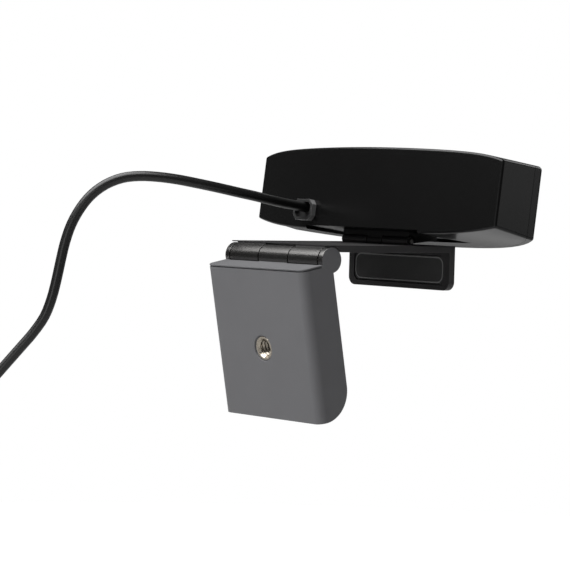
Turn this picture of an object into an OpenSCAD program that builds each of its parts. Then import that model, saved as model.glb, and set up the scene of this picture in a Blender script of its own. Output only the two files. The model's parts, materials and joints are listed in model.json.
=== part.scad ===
// Bar webcam on a folding monitor clip, with a tripod thread in the clip's leg.
// Millimetres. The lens looks along -Y and +Z is up. The origin is the middle of the
// clip plate's underside, where it rests on a monitor's top edge.

/* [Camera body] */
// Width of the camera body from end to end
body_w = 119.5; // [108:0.5:130]
// Depth of the flat ends
end_depth = 18.3; // [16:0.1:24]
// How far the front bows out at its middle
front_bow = 22.3; // [18:0.1:28]
// How far the back bows out at its middle
rear_bow = 5.3; // [2:0.1:8]
// Height of the flat ends
end_h = 23.2; // [21:0.1:28]
// Rise of the top from the ends to the middle
top_crown = 3.2; // [1:0.1:5]
// Drop of the belly's back edge from the ends to the middle
belly_crown = 3.7; // [2.6:0.1:5]
// Drop of the chin, the belly's front edge, from the ends to the middle
chin_crown = 1.4; // [0.8:0.1:3]
// How much lower the chin is than the back at the ends
chin_drop = 1.7; // [1:0.1:2.5]
// Radius along the outer edges
edge_r = 1.2; // [0.8:0.1:2.4]
// Wall of the camera housing
wall = 1.8; // [1.4:0.1:2.4]
// Width of the recess under the body that clears the clip
trough_w = 56; // [52:1:62]
// How far the body looks down at rest, in degrees
pitch = 7.5; // [4:0.5:10]

/* [Front] */
// Thickness of the curved front bezel
bezel_t = 2.4; // [2:0.1:3.2]
// Thickness of the window
window_t = 1.2; // [0.8:0.1:1.4]
// Width of the window
window_w = 98; // [92:1:100]
// Height of the window
window_h = 17; // [15:0.5:19]
// Lip of the bezel that the window is glued to
window_lip = 1.5; // [1:0.1:2.5]
// Diameter of the lens barrel
lens_d = 10; // [8:0.5:12]
// Distance of each microphone from the lens
mic_x = 30; // [24:1:34]
// Diameter of the microphones
mic_d = 3.6; // [3:0.1:3.8]

/* [Electronics] */
// Width of the circuit board
board_w = 76; // [70:1:80]
// Height of the circuit board
board_h = 20; // [18:0.5:21]
// Thickness of the circuit board
board_t = 1.6; // [1:0.1:2]
// Distance of the board's back from the body's end plane
board_set = 13; // [11:0.5:14]

/* [Monitor clip] */
// Width of the clip
clip_w = 50.5; // [49:0.5:53]
// Thickness of the clip plate
plate_t = 2.2; // [2:0.1:2.8]
// Distance from the leg hinge to the front of the lip
clip_reach = 55; // [54:0.5:60]
// Drop of the lip below the plate
lip_drop = 12.9; // [10:0.1:16]
// Thickness of the lip
lip_t = 2.6; // [2.2:0.1:3.4]
// Thickness of the rubber pads
pad_t = 0.8; // [0.6:0.1:1.2]

/* [Leg] */
// How far each side of the leg is set in from the clip's
leg_inset = 0.5; // [0.2:0.1:1.5]
// Length of the leg below its hinge
leg_l = 51.8; // [46:0.2:53]
// Thickness of the leg
leg_t = 13; // [12:0.1:15]
// Wall of the leg
leg_wall = 1.8; // [1.4:0.1:2.4]
// How far the leg leans towards the front at rest, in degrees
leg_lean = 11; // [5:0.5:15]
// Radius of the hinge barrel
barrel_r = 4.2; // [4:0.1:4.6]
// Diameter of the hinge pin
pin_d = 3; // [2:0.1:3.6]
// Outside diameter of the tripod insert
insert_d = 8; // [7.6:0.1:9]
// Minor diameter of the quarter inch thread in the insert
thread_d = 5.2; // [5:0.05:5.3]
// Distance of the insert below the hinge
insert_drop = 28.1; // [22:0.1:32]

/* [Tilt joint] */
// Width of the tilt foot
foot_w = 33; // [30:0.5:38]
// Depth of the tilt foot
foot_depth = 13.5; // [11:0.5:15]
// Height of the tilt axis above the clip plate
tilt_rise = 1.2; // [1.1:0.05:1.5]
// Distance of the tilt axis below the recess in the body
foot_drop = 3.1; // [3:0.1:4]
// Radius of the tilt knuckles
tilt_r = 1.6; // [1.4:0.05:1.7]
// Diameter of the tilt pin
tilt_pin_d = 1.5; // [1.2:0.05:1.6]
// How far the camera tips down from rest, in degrees
tilt_down = 5; // [2:1:6]

/* [Cord] */
// Diameter of the cord
cord_d = 3.5; // [3:0.1:4]
// Sideways place of the cord's gland
gland_x = 28.4; // [28:0.1:29]
// Height of the gland below the middle of the ends
gland_drop = 6.7; // [6:0.1:7]
// Width of the gland's collar
gland_w = 9.6; // [8:0.1:10]
// Height of the gland's collar
gland_h = 7.2; // [6.5:0.1:7.4]
// How far the gland's collar stands out
gland_out = 2.4; // [1:0.1:3]

/* [Clearances] */
// Gap beside parts that turn
turn_gap = 0.35; // [0.3:0.05:0.45]
// Radial clearance of a pin that turns in its bore
run_gap = 0.04; // [0.02:0.01:0.08]
// Clearance between fitted parts
fit_gap = 0.1; // [0.05:0.05:0.2]
// Radial clearance of pins and inserts that are pressed in
press_gap = 0.02; // [0.01:0.01:0.05]

/* [Hidden] */
$fn = 48;

// --- Camera body: a loft across X of rounded sections in the YZ plane -------------
half_w = body_w / 2;
// Share of the top's crown that comes in quickly beside the ends
shoulder = 0.6;
shoulder_power = 9;
corner_steps = 3;
span_steps = 10;
heel_rise = 1.1;
front_r = arc_radius(front_bow);

function arc_radius(rise) = (half_w * half_w + rise * rise) / (2 * rise);
function bow(x, rise) =
    let (r = arc_radius(rise)) sqrt(r * r - x * x) - (r - rise);
function crown(x) =
    let (t = abs(x) / half_w)
    top_crown * ((1 - shoulder) * (1 - t * t) + shoulder * (1 - pow(t, shoulder_power)));
function belly(x) = belly_crown * (1 - pow(x / half_w, 4)) - heel_rise;
function chin(x) = chin_crown * (1 - pow(abs(x) / half_w, 3)) - heel_rise + chin_drop;
function rear_y(x) = bow(x, rear_bow);
function front_y(x) = -end_depth - bow(x, front_bow);
function top_z(x) = end_h / 2 + crown(x);
function belly_z(x) = -end_h / 2 - belly(x);
function chin_z(x) = -end_h / 2 - chin(x);

// One section: four sides with round corners, set in from the outside by `inset`
function section(x, inset, r) =
    let (low_y = front_y(x) + inset, high_y = rear_y(x) - inset,
        heel_z = belly_z(x) + inset, low_z = chin_z(x) + inset, high_z = top_z(x) - inset)
    [for (corner = [0 : 3], step = [0 : corner_steps])
        let (a = 90 * (corner + step / corner_steps),
            cy = (corner == 0 || corner == 3) ? high_y - r : low_y + r,
            cz = (corner < 2) ? high_z - r : (corner == 2) ? low_z + r : heel_z + r)
        [x, cy + r * cos(a), cz + r * sin(a)]];

// Stations across the body: [x, extra inset, corner radius], with rounded ends
function stations(inset, r) =
    let (reach = half_w - inset - r, least = 0.25 * r,
        cap = [for (i = [corner_steps : -1 : 1])
            let (a = 90 * i / corner_steps)
            [reach + r * sin(a), r * (1 - cos(a)), max(r * cos(a), least)]])
    concat([for (s = cap) [-s[0], s[1], s[2]]],
        [for (i = [-span_steps : span_steps]) [reach * sin(90 * i / span_steps), 0, r]],
        [for (i = [len(cap) - 1 : -1 : 0]) cap[i]]);

module loft(rings) {
    n = len(rings[0]);
    last = len(rings) - 1;
    sides = [for (i = [0 : last - 1], j = [0 : n - 1], half = [0, 1])
        let (a = i * n + j, b = i * n + (j + 1) % n, c = a + n, d = b + n)
        half == 0 ? [a, d, b] : [a, c, d]];
    ends = [[for (j = [0 : n - 1]) j], [for (j = [n - 1 : -1 : 0]) last * n + j]];
    polyhedron(points = [for (ring = rings) each ring], faces = concat(sides, ends),
        convexity = 4);
}

module body_form(inset, r) {
    loft([for (s = stations(inset, r)) section(s[0], inset + s[1], s[2])]);
}

// --- Where the body sits ----------------------------------------------------------
// The recess under the body, its foot and the tilt axis, in the body's own frame
trough_depth = 1.2;
trough_z = belly_z(trough_w / 2) + trough_depth;
trough_front = 22;
tilt_y_in_body = -4.36;
tilt_z_in_body = trough_z - foot_drop;
// The tilt axis in the clip's frame
hinge_y = 28;
lip_front = hinge_y - clip_reach;
foot_set = 12.6;
tilt_y = lip_front + foot_set;
tilt_z = plate_t + tilt_rise;
body_at = [0, tilt_y - tilt_y_in_body * cos(pitch) + tilt_z_in_body * sin(pitch),
    tilt_z - tilt_y_in_body * sin(pitch) - tilt_z_in_body * cos(pitch)];

module in_body() {
    translate(body_at) rotate([pitch, 0, 0]) children();
}
// A rod along X, or along -Y from a point towards the front
module rod_x(r, l) {
    rotate([0, 90, 0]) cylinder(r = r, h = l, center = true);
}
module rod_front(r, l) {
    rotate([90, 0, 0]) cylinder(r = r, h = l);
}
// A flat outline in the YZ plane made into a bar of width w along X
module bar_x(w) {
    rotate([90, 0, 90]) translate([0, 0, -w / 2]) linear_extrude(w) children();
}
module slot_2d(w, h) {
    for (side = [-1, 1]) translate([side * (w - h) / 2, 0]) circle(d = h);
    square([w - h, h], center = true);
}
module round_rect_2d(w, h, r) {
    square([w - 2 * r, h], center = true);
    square([w, h - 2 * r], center = true);
    for (sx = [-1, 1], sy = [-1, 1])
        translate([sx * (w / 2 - r), sy * (h / 2 - r)]) circle(r = r);
}

// The upright cylinder that the front follows, set in by `inset`
front_centre_y = front_r - end_depth - front_bow;
module front_cylinder(inset) {
    translate([0, front_centre_y, 0])
        cylinder(r = front_r - inset, h = 2 * end_h, center = true, $fn = 180);
}
// Puts children at a place on the front face, looking out along -Y
module on_front(x, inset) {
    translate([0, front_centre_y, 0]) rotate([0, 0, asin(x / front_r)])
        translate([0, inset - front_r, 0]) children();
}

// --- Housing ----------------------------------------------------------------------
bezel_screw_x = window_w / 2 - 5.5;
bezel_screw_z = window_h / 2 - 3.6;
board_screw_x = board_w / 2 - 3;
board_screw_z = board_h / 2 - 3.2;
post_r = 2.6;
screw_r = 1;
board_back = -board_set;
board_front = board_back - board_t;

// The board's low post beside the gland stands inwards of the cord's plug
connector_w = 8;
board_inner_x = gland_x - connector_w / 2 - post_r - 1.5;
board_spots = [[-board_screw_x, -board_screw_z], [-board_screw_x, board_screw_z],
    [board_screw_x, board_screw_z], [board_inner_x, -board_screw_z]];
module board_places() {
    for (spot = board_spots) translate([spot[0], 0, spot[1]]) children();
}
module four_places(x, z) {
    for (sx = [-1, 1], sz = [-1, 1]) translate([sx * x, 0, sz * z]) children();
}
module trough(grow) {
    translate([-trough_w / 2 - grow, -trough_front - grow, trough_z - end_h])
        cube([trough_w + 2 * grow, trough_front + 2 * grow + end_depth, end_h + grow]);
}
module rear_housing() {
    $fn = 24;
    color("#1b1b1c") in_body() difference() {
        union() {
            intersection() {
                difference() {
                    body_form(0, edge_r);
                    difference() {
                        body_form(wall, edge_r);
                        trough(wall);
                    }
                }
                front_cylinder(bezel_t + fit_gap);
            }
            intersection() {
                union() {
                    four_places(bezel_screw_x, bezel_screw_z)
                        translate([0, rear_y(bezel_screw_x) - wall / 2, 0])
                            rod_front(post_r, end_depth + front_bow);
                    for (spot = board_spots)
                        translate([spot[0], rear_y(spot[0]) - wall / 2, spot[1]])
                            rod_front(post_r,
                                rear_y(spot[0]) - wall / 2 - board_back - press_gap / 2);
                }
                front_cylinder(bezel_t + bezel_boss + fit_gap);
            }
        }
        trough(0);
        four_places(bezel_screw_x, bezel_screw_z)
            translate([0, rear_y(bezel_screw_x) - wall - 6, 0]) rod_front(screw_r, body_w);
        board_places() translate([0, rear_y(board_screw_x) - wall - 4, 0])
            rod_front(screw_r, rear_y(board_screw_x) + end_depth);
        translate([gland_x, half_w / 2, -gland_drop])
            rod_front(gland_neck_r + fit_gap / 2, half_w);
        for (side = [-1, 1]) translate([side * foot_screw_x, foot_screw_y, trough_z])
            cylinder(r = screw_r + fit_gap, h = 4 * wall, center = true);
    }
}

// The bezel: a curved front panel with a seat for the window and four inner bosses
bezel_boss = 4;
// How much of the window's ends the bezel covers
window_end = 14;
head_r = 1.9;
head_h = 1.2;
module bezel_places() {
    for (sx = [-1, 1], sz = [-1, 1])
        translate([sx * bezel_screw_x, front_y(bezel_screw_x), sz * bezel_screw_z]) children();
}
module front_bezel() {
    $fn = 24;
    color("#1f1f20") in_body() difference() {
        union() {
            difference() {
                body_form(0, edge_r);
                front_cylinder(bezel_t);
            }
            intersection() {
                bezel_places() translate([0, end_depth, 0]) rod_front(post_r + 0.6, end_depth);
                difference() {
                    front_cylinder(window_t + fit_gap);
                    front_cylinder(bezel_t + bezel_boss);
                }
            }
        }
        difference() {
            rotate([90, 0, 0]) linear_extrude(body_w) slot_2d(window_w, window_h, $fn = 40);
            front_cylinder(window_t + fit_gap);
        }
        rotate([90, 0, 0]) linear_extrude(body_w)
            round_rect_2d(window_w - 2 * window_lip - window_end, window_h - 2 * window_lip, 3);
        bezel_places() translate([0, end_depth, 0]) rod_front(screw_r + fit_gap, body_w);
        bezel_places() translate([0, bezel_seat, 0]) rod_front(head_r + fit_gap, end_depth);
        for (side = [-1, 1]) on_front(side * mic_x, bezel_t + 1)
            translate([0, 0, mic_z]) rod_front(0.6, bezel_t + 2, $fn = 12);
    }
}
// Depth of the screws' seats behind the sloping front face, just behind the window
face_turn = asin(bezel_screw_x / front_r);
bezel_seat = (window_t + fit_gap) / cos(face_turn) + (head_r + fit_gap) * tan(face_turn)
    + head_h + 0.2;
mic_z = window_h / 2 + mic_d / 2 + 0.1;

module front_window() {
    color("#08090c") in_body() difference() {
        intersection() {
            rotate([90, 0, 0]) linear_extrude(body_w)
                slot_2d(window_w - 2 * fit_gap, window_h - 2 * fit_gap);
            front_cylinder(0.15);
        }
        front_cylinder(window_t);
    }
}

// --- Electronics ------------------------------------------------------------------
module main_board() {
    color("#14532d") in_body() translate([0, board_back, 0]) difference() {
        rotate([90, 0, 0]) linear_extrude(board_t) round_rect_2d(board_w, board_h, 1);
        board_places() translate([0, 1, 0])
            rod_front(screw_r + fit_gap, board_t + 2);
    }
}
sensor_w = 9;
sensor_t = 1.1;
module image_sensor() {
    color("#20242c") in_body() translate([0, board_front - sensor_t / 2, 0])
        cube([sensor_w, sensor_t, sensor_w], center = true);
}
holder_w = lens_d + 5;
holder_d = 8;
barrel_front = front_y(0) + window_t + 1;
module lens_holder() {
    color("#26262a") in_body() translate([0, board_front, 0]) difference() {
        union() {
            translate([0, -holder_d / 2, 0]) cube([holder_w, holder_d, holder_w], center = true);
            translate([pipe_x, -2, 0]) rod_front(pipe_r + 1.2, holder_d - 2);
        }
        translate([0, -1.5, 0]) rod_front(lens_d / 2 + fit_gap / 2, holder_d);
        translate([pipe_x, 0, 0]) rod_front(pipe_r + fit_gap / 2, holder_d + 1);
        translate([0, -sensor_t / 2, 0])
            cube([sensor_w + 2 * fit_gap, sensor_t + 2, sensor_w + 2 * fit_gap], center = true);
        translate([pipe_x, 0, 0]) cube([4, 2.6, 3], center = true);
    }
}
module lens_barrel() {
    color("#151517") in_body() difference() {
        translate([0, board_front - 4, 0])
            rod_front(lens_d / 2, board_front - 4 - barrel_front);
        translate([0, board_front - 3, 0]) rod_front(lens_d / 2 - 2.4, end_depth + front_bow);
        translate([0, barrel_front + 2.6, 0]) rod_front(lens_d / 2 - 1.2, 4);
    }
}
module lens_glass() {
    dome_r = lens_d * 0.9;
    glass_r = lens_d / 2 - 1.2 - fit_gap / 2;
    color("#3a4a66") in_body() translate([0, barrel_front + 2.6, 0]) intersection() {
        rod_front(glass_r, 3);
        translate([0, dome_r - 2.5, 0]) sphere(r = dome_r);
    }
}
module lens_ring() {
    color("#3c3c40") in_body() translate([0, barrel_front + 1.4, 0]) difference() {
        rod_front(lens_d / 2 + 1.4, 1.8);
        translate([0, 1, 0]) rod_front(lens_d / 2 + fit_gap / 2, 4);
    }
}
module processor_chip() {
    color("#1d1f22") in_body() translate([-12, board_back + 0.7, 0])
        cube([13, 1.4, 13], center = true);
}
module microphones() {
    color("#b8b8bc") in_body() for (side = [-1, 1])
        on_front(side * mic_x, bezel_t + 2.1) translate([0, 0, mic_z]) rod_front(mic_d / 2, 2);
}
pipe_r = 1.2;
pipe_x = holder_w / 2 + pipe_r;
module status_led() {
    color("#e8e8e0") in_body() translate([pipe_x, board_front - 0.5, 0])
        cube([3, 1, 2], center = true);
}
module light_pipe() {
    pipe_back = board_front - 1.2;
    color("#dfe6ea") in_body() translate([pipe_x, pipe_back, 0])
        rod_front(pipe_r, pipe_back - front_y(pipe_x) - window_t - 1);
}

// --- Screws -----------------------------------------------------------------------
bezel_shank = 8;
board_shank = 6;
module screw_front(shank) {
    rod_front(head_r, head_h);
    translate([0, shank, 0]) rod_front(screw_r - fit_gap / 2, shank);
}
module bezel_screws() {
    color("#9a9a9e") in_body() bezel_places() translate([0, bezel_seat, 0])
        screw_front(bezel_shank);
}
module board_screws() {
    color("#9a9a9e") in_body() board_places() translate([0, board_front, 0])
        screw_front(board_shank);
}

// --- Cord gland and what it holds -------------------------------------------------
gland_neck_r = 2.8;
gland_chamfer = 1.6;
gland_y = rear_y(gland_x);
rear_r = arc_radius(rear_bow);
gland_rim = 0.95;
// The collar hangs a little lower than the cord that it holds
collar_low = 0.9;
gland_flange = 0.6;
module gland_outline(inset) {
    w = gland_w / 2 - inset;
    h = gland_h / 2 - inset;
    c = gland_chamfer - inset / 2;
    polygon([[-w + c, -h], [w - c, -h], [w, -h + c], [w, h - c], [w - c, h],
        [-w + c, h], [-w, h - c], [-w, -h + c]]);
}
module cord_gland() {
    color("#3c3c3e") in_body() translate([gland_x, gland_y, -gland_drop]) difference() {
        union() {
            difference() {
                translate([0, gland_out, -collar_low]) rotate([90, 0, 0])
                    linear_extrude(gland_out + 2) gland_outline(0);
                translate([-gland_x, rear_bow - rear_r - gland_y, 0])
                    cylinder(r = rear_r + press_gap, h = 2 * end_h, center = true, $fn = 600);
            }
            translate([0, 0.5, 0]) rod_front(gland_neck_r, wall + 2);
            translate([0, -wall - 0.6, 0]) rod_front(gland_neck_r + gland_flange, 1);
        }
        translate([0, gland_out + 1, -collar_low]) rotate([90, 0, 0])
            linear_extrude(gland_out + 0.4) gland_outline(gland_rim);
        translate([0, gland_out + 1, 0]) rod_front(cord_d / 2 + fit_gap / 2, wall + 6);
    }
}
sleeve_l = 3;
sleeve_y = gland_y - wall - 1.7;
connector_d = 5;
module inner_lead() {
    color("#2a2a2c") in_body() translate([gland_x, gland_y, -gland_drop])
        rod_front(cord_d / 2, gland_y - board_back - connector_d);
}
module crimp_sleeve() {
    color("#8c8c90") in_body() translate([gland_x, sleeve_y, -gland_drop]) difference() {
        rod_front(cord_d / 2 + 1.2, sleeve_l);
        translate([0, 1, 0]) rod_front(cord_d / 2 + fit_gap / 4, sleeve_l + 2);
    }
}
module cord_connector() {
    color("#e6e2d6") in_body()
        translate([gland_x - 1, board_back + connector_d / 2, -gland_drop + 1])
            cube([connector_w, connector_d, 6], center = true);
}

// --- Tilt foot and its pin --------------------------------------------------------
foot_knuckle_w = 7.4;
lug_w = (foot_w - foot_knuckle_w) / 2 - turn_gap;
lug_x = (foot_w - lug_w) / 2;
foot_rear = tilt_y_in_body + 1.3;
foot_front = foot_rear - foot_depth;
foot_screw_x = foot_w / 2 - 5;
foot_screw_y = foot_rear - foot_depth / 2;
// The foot's underside clears the plate at its lowest tilt
foot_slope = tan(pitch + tilt_down + 1);
foot_low = tilt_z_in_body - tilt_rise + turn_gap;
module foot_profile() {
    run = tilt_y_in_body - foot_front;
    polygon([[foot_rear, trough_z], [foot_rear, tilt_z_in_body],
        [tilt_y_in_body, foot_low], [foot_front, foot_low + run * foot_slope],
        [foot_front, trough_z]]);
}
module tilt_foot() {
    color("#101011") in_body() difference() {
        union() {
            bar_x(foot_w) foot_profile();
            translate([0, tilt_y_in_body, tilt_z_in_body]) rod_x(tilt_r, foot_knuckle_w);
        }
        for (side = [-1, 1])
            translate([side * (lug_x + turn_gap / 2), tilt_y_in_body, tilt_z_in_body])
                rod_x(tilt_r + turn_gap, lug_w + 3 * turn_gap);
        translate([0, tilt_y_in_body, tilt_z_in_body])
            rod_x(tilt_pin_d / 2 + run_gap, foot_w + 2);
        for (side = [-1, 1]) translate([side * foot_screw_x, foot_screw_y, trough_z - 1.4])
            cylinder(r = screw_r, h = 4);
    }
}
module foot_screws() {
    floor_z = trough_z + wall;
    color("#9a9a9e") in_body() for (side = [-1, 1])
        translate([side * foot_screw_x, foot_screw_y, floor_z]) {
            cylinder(r = head_r, h = head_h);
            translate([0, 0, -wall - 1.2]) cylinder(r = screw_r - fit_gap / 2, h = wall + 1.2);
        }
}
module at_tilt_axis() {
    translate([0, tilt_y, tilt_z]) children();
}
module tilt_pin() {
    color("#77777a") at_tilt_axis() translate([-0.3, 0, 0])
        rod_x(tilt_pin_d / 2, foot_w + 0.6);
}

// --- Clip plate, lip and hinge barrel ---------------------------------------------
leg_w = clip_w - 2 * leg_inset;
ear_t = 2.3;
washer_gap = 0.5;
knuckle_w = (leg_w - 2 * ear_t) / 3;
plate_over = 0.6;
hinge_z = -barrel_r + plate_t - plate_over;
plate_rear = hinge_y + 1;
lip_back = lip_front + lip_t;
lip_corner = 3;
pad_side = 2.6;
pad_edge = 1.8;
pad_sunk = 0.3;
pad_corner = 2.4;
module at_hinge() {
    translate([0, hinge_y, hinge_z]) children();
}
// Along the barrel: ear, plate knuckle, leg knuckle, plate knuckle, ear
module leg_slots(r) {
    rod_x(r, knuckle_w + washer_gap);
    for (side = [-1, 1])
        translate([side * clip_w / 2, 0, 0]) rod_x(r, clip_w - 3 * knuckle_w + washer_gap);
}
module plate_knuckles(r, w) {
    for (side = [-1, 1]) translate([side * knuckle_w, 0, 0]) rod_x(r, w);
}
module lip_outline() {
    top = lip_drop + plate_t;
    translate([0, -lip_drop / 2 + plate_t / 2]) intersection() {
        translate([0, top / 2]) round_rect_2d(clip_w, 2 * top, lip_corner);
        square([clip_w, top], center = true);
    }
}
module clip_plate() {
    color("#3a3a3c") difference() {
        union() {
            translate([-clip_w / 2, lip_front + lip_t / 2, 0])
                cube([clip_w, plate_rear - lip_front - lip_t / 2, plate_t]);
            translate([0, lip_back, 0]) rotate([90, 0, 0]) linear_extrude(lip_t) lip_outline();
            at_hinge() plate_knuckles(barrel_r, knuckle_w - washer_gap);
            at_tilt_axis() for (side = [-1, 1]) translate([side * lug_x, 0, 0])
                rod_x(tilt_r, lug_w);
        }
        at_hinge() leg_slots(barrel_r + turn_gap);
        at_hinge() rod_x(pin_d / 2 + run_gap, leg_w);
        at_tilt_axis() rod_x(tilt_r + turn_gap, foot_knuckle_w + 2 * turn_gap);
        at_tilt_axis() rod_x(tilt_pin_d / 2 + press_gap, foot_w + 2);
        lip_recess(0, pad_t + pad_sunk);
        plate_recess(0);
    }
}
module lip_recess(gap, depth) {
    pad_h = lip_drop - pad_edge - 1;
    translate([0, lip_back - pad_t - pad_sunk, -1 - pad_h / 2]) rotate([-90, 0, 0])
        linear_extrude(depth)
            round_rect_2d(clip_w - 2 * pad_side - 2 * gap, pad_h - 2 * gap, pad_corner);
}
module lip_pad() {
    color("#232324") lip_recess(fit_gap, pad_t);
}
module plate_recess(gap) {
    low = lip_back + 4;
    high = hinge_y - barrel_r - 4;
    translate([0, (low + high) / 2, 0]) linear_extrude(pad_t)
        round_rect_2d(clip_w - 10 - 2 * gap, high - low - 2 * gap, 2);
}
module plate_pad() {
    color("#232324") plate_recess(fit_gap);
}
module friction_washers() {
    washer_t = washer_gap - 0.2;
    color("#8a8a8c") at_hinge() for (place = [-1.5, -0.5, 0.5, 1.5])
        translate([place * knuckle_w, 0, 0])
            difference() {
                rod_x(barrel_r - 0.6, washer_t);
                rod_x(pin_d / 2 + run_gap, washer_t + 1);
            }
}

// --- Leg --------------------------------------------------------------------------
// In the leg's frame the hinge is the origin, the leg hangs along -Z and +Y is behind
leg_front = -0.2;
leg_rear = leg_front + leg_t;
leg_top = -0.8;
leg_toe_r = 10;
leg_edge_r = 3;
cover_t = 1.6;
cover_inset = 2.2;
ear_l = (leg_w - 3 * knuckle_w - washer_gap) / 2;
pin_blind = 0.8;
cap_r = 2.6;
cap_t = 0.8;
insert_l = leg_t - cover_t - 2;
recess_d = insert_d + 0.7;
leg_screw_x = leg_w / 2 - 6.5;
leg_screw_high = -12;
leg_screw_rise = 15;
leg_shank = 6;
leg_screw_low = -leg_l + leg_screw_rise;
module in_leg() {
    at_hinge() rotate([-leg_lean, 0, 0]) children();
}
module leg_side_2d(inset) {
    toe = leg_toe_r - inset;
    low = -leg_l + inset;
    front = leg_front + inset;
    translate([front + toe, low])
        square([leg_rear - inset - front - toe, leg_top - 2 * inset - low]);
    translate([front, low + toe]) square([toe + 0.01, leg_top - 2 * inset - low - toe]);
    translate([front + toe, low + toe]) circle(r = toe, $fn = 96);
}
module leg_plan_2d(inset) {
    r = leg_edge_r - inset;
    w = leg_w - 2 * inset;
    rear = leg_rear - inset;
    translate([-w / 2, leg_front - 1]) square([w, rear - r - leg_front + 1]);
    translate([-w / 2 + r, 0]) square([w - 2 * r, rear]);
    for (side = [-1, 1]) translate([side * (w / 2 - r), rear - r]) circle(r = r);
}
module leg_form(inset) {
    intersection() {
        bar_x(leg_w - 2 * inset) leg_side_2d(inset);
        translate([0, 0, -leg_l - 1]) linear_extrude(leg_l + 1) leg_plan_2d(inset);
    }
}
// The front opening and the cover that closes it
opening_high = -barrel_r - 2.6;
opening_low = -leg_l + leg_toe_r + 0.6;
module leg_opening(inset, from, to) {
    translate([0, leg_front + from, (opening_high + opening_low) / 2]) rotate([-90, 0, 0])
        linear_extrude(to - from)
            round_rect_2d(leg_w - 2 * cover_inset - 2 * inset,
                opening_high - opening_low - 2 * inset, 2);
}
module leg_screw_places() {
    for (side = [-1, 1], z = [leg_screw_high, leg_screw_low])
        translate([side * leg_screw_x, leg_front, z]) children();
}
module leg_shell() {
    color("#4a4a4c") in_leg() difference() {
        union() {
            difference() {
                leg_form(0);
                intersection() {
                    leg_form(leg_wall);
                    translate([-leg_w, -leg_t, -leg_l])
                        cube([2 * leg_w, 3 * leg_t, leg_l - barrel_r - 1.4]);
                }
                leg_opening(0, -1, leg_wall + 1);
            }
            translate([0, leg_rear - leg_wall / 2, -insert_drop])
                rod_front(insert_d / 2 + 2, insert_l);
            leg_screw_places() translate([0, leg_t - leg_wall / 2, 0])
                rod_front(post_r, leg_t - leg_wall / 2 - cover_t);
            rod_x(barrel_r, knuckle_w - washer_gap);
            for (side = [-1, 1]) translate([side * (leg_w - ear_l) / 2, 0, 0])
                rod_x(barrel_r, ear_l);
        }
        plate_knuckles(barrel_r + turn_gap, knuckle_w + washer_gap);
        translate([pin_blind - leg_w / 2, 0, 0]) rotate([0, 90, 0])
            cylinder(r = pin_d / 2 + press_gap, h = leg_w);
        translate([leg_w / 2, 0, 0]) rod_x(cap_r + press_gap, 2 * cap_t);
        translate([0, leg_rear + 1, -insert_drop])
            rod_front(insert_d / 2 + press_gap, insert_l + 2);
        translate([0, leg_rear + 1, -insert_drop]) rod_front(recess_d / 2, 1.5);
        leg_screw_places() translate([0, cover_t + 7, 0]) rod_front(screw_r, 10);
    }
}
module leg_cover() {
    color("#3e3e40") in_leg() difference() {
        leg_opening(fit_gap, 0, cover_t);
        leg_screw_places() translate([0, leg_t, 0]) rod_front(screw_r + fit_gap, leg_t + 1);
        leg_screw_places() translate([0, head_h, 0]) rod_front(head_r + fit_gap, head_h + 1);
    }
}
module leg_pad() {
    color("#1c1c1d") in_leg() leg_opening(1.5, -pad_t, 0);
}
module leg_screws() {
    color("#9a9a9e") in_leg() leg_screw_places() translate([0, head_h, 0]) screw_front(leg_shank);
}
module tripod_insert() {
    color("#b1a99c") in_leg() translate([0, leg_rear - 0.4, -insert_drop]) difference() {
        rod_front(insert_d / 2, insert_l);
        translate([0, 1, 0]) rod_front(thread_d / 2, insert_l + 2);
        rotate([90, 0, 0]) cylinder(r1 = thread_d / 2 + 0.7, r2 = thread_d / 2, h = 0.7);
    }
}
module hinge_pin() {
    color("#9b9b9e") at_hinge() translate([pin_blind - leg_w / 2, 0, 0]) rotate([0, 90, 0])
        cylinder(r = pin_d / 2, h = leg_w - pin_blind - cap_t);
}
module hinge_cap() {
    color("#4a4a4c") at_hinge() translate([leg_w / 2 - cap_t / 2, 0, 0])
        rod_x(cap_r, cap_t);
}

// --- Cord -------------------------------------------------------------------------
// The cord's centre line from inside the gland to the top of the hank
function out_of_body(p) = body_at + [p[0], p[1] * cos(pitch) - p[2] * sin(pitch),
    p[1] * sin(pitch) + p[2] * cos(pitch)];
CORD_ROUTE = [out_of_body([gland_x, gland_y + 0.1, -gland_drop]),
    out_of_body([gland_x, gland_y + gland_out + 1, -gland_drop]),
    [28.6, 3, 15], [29.2, 9, 16], [30.3, 15.2, 17.2], [32.2, 21.5, 18.4], [34.8, 27.6, 19.7],
    [38, 34, 21], [41.7, 40.2, 22.2], [45.7, 45.7, 22.9], [49.6, 50.6, 23], [53.2, 55, 22.2],
    [56.8, 59.2, 19.9], [60, 62.7, 16.3], [62.6, 65.4, 11.6], [64.6, 67.6, 6], [66, 69, 0],
    [67, 70, -6.5], [67.9, 70.9, -13], [69, 72, -19.5], [70.6, 73.6, -25.6],
    [73.2, 76.2, -31.2], [76.6, 79.6, -37], [80, 83, -42.7], [83.4, 86.4, -48.4],
    [86.7, 89.9, -54.2], [89.7, 93.2, -60.2], [92, 95.8, -66.4], [93.4, 97.4, -72.8],
    [94, 98, -78.4], [94, 98, -81]];
cord_sides = 8;
hank_run = 15 * cord_d;
hank_bend = 3 * cord_d;
hank_layers = 4;
hank_turn = -40;
hank_half = hank_bend + 1.5 * cord_d;
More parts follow.
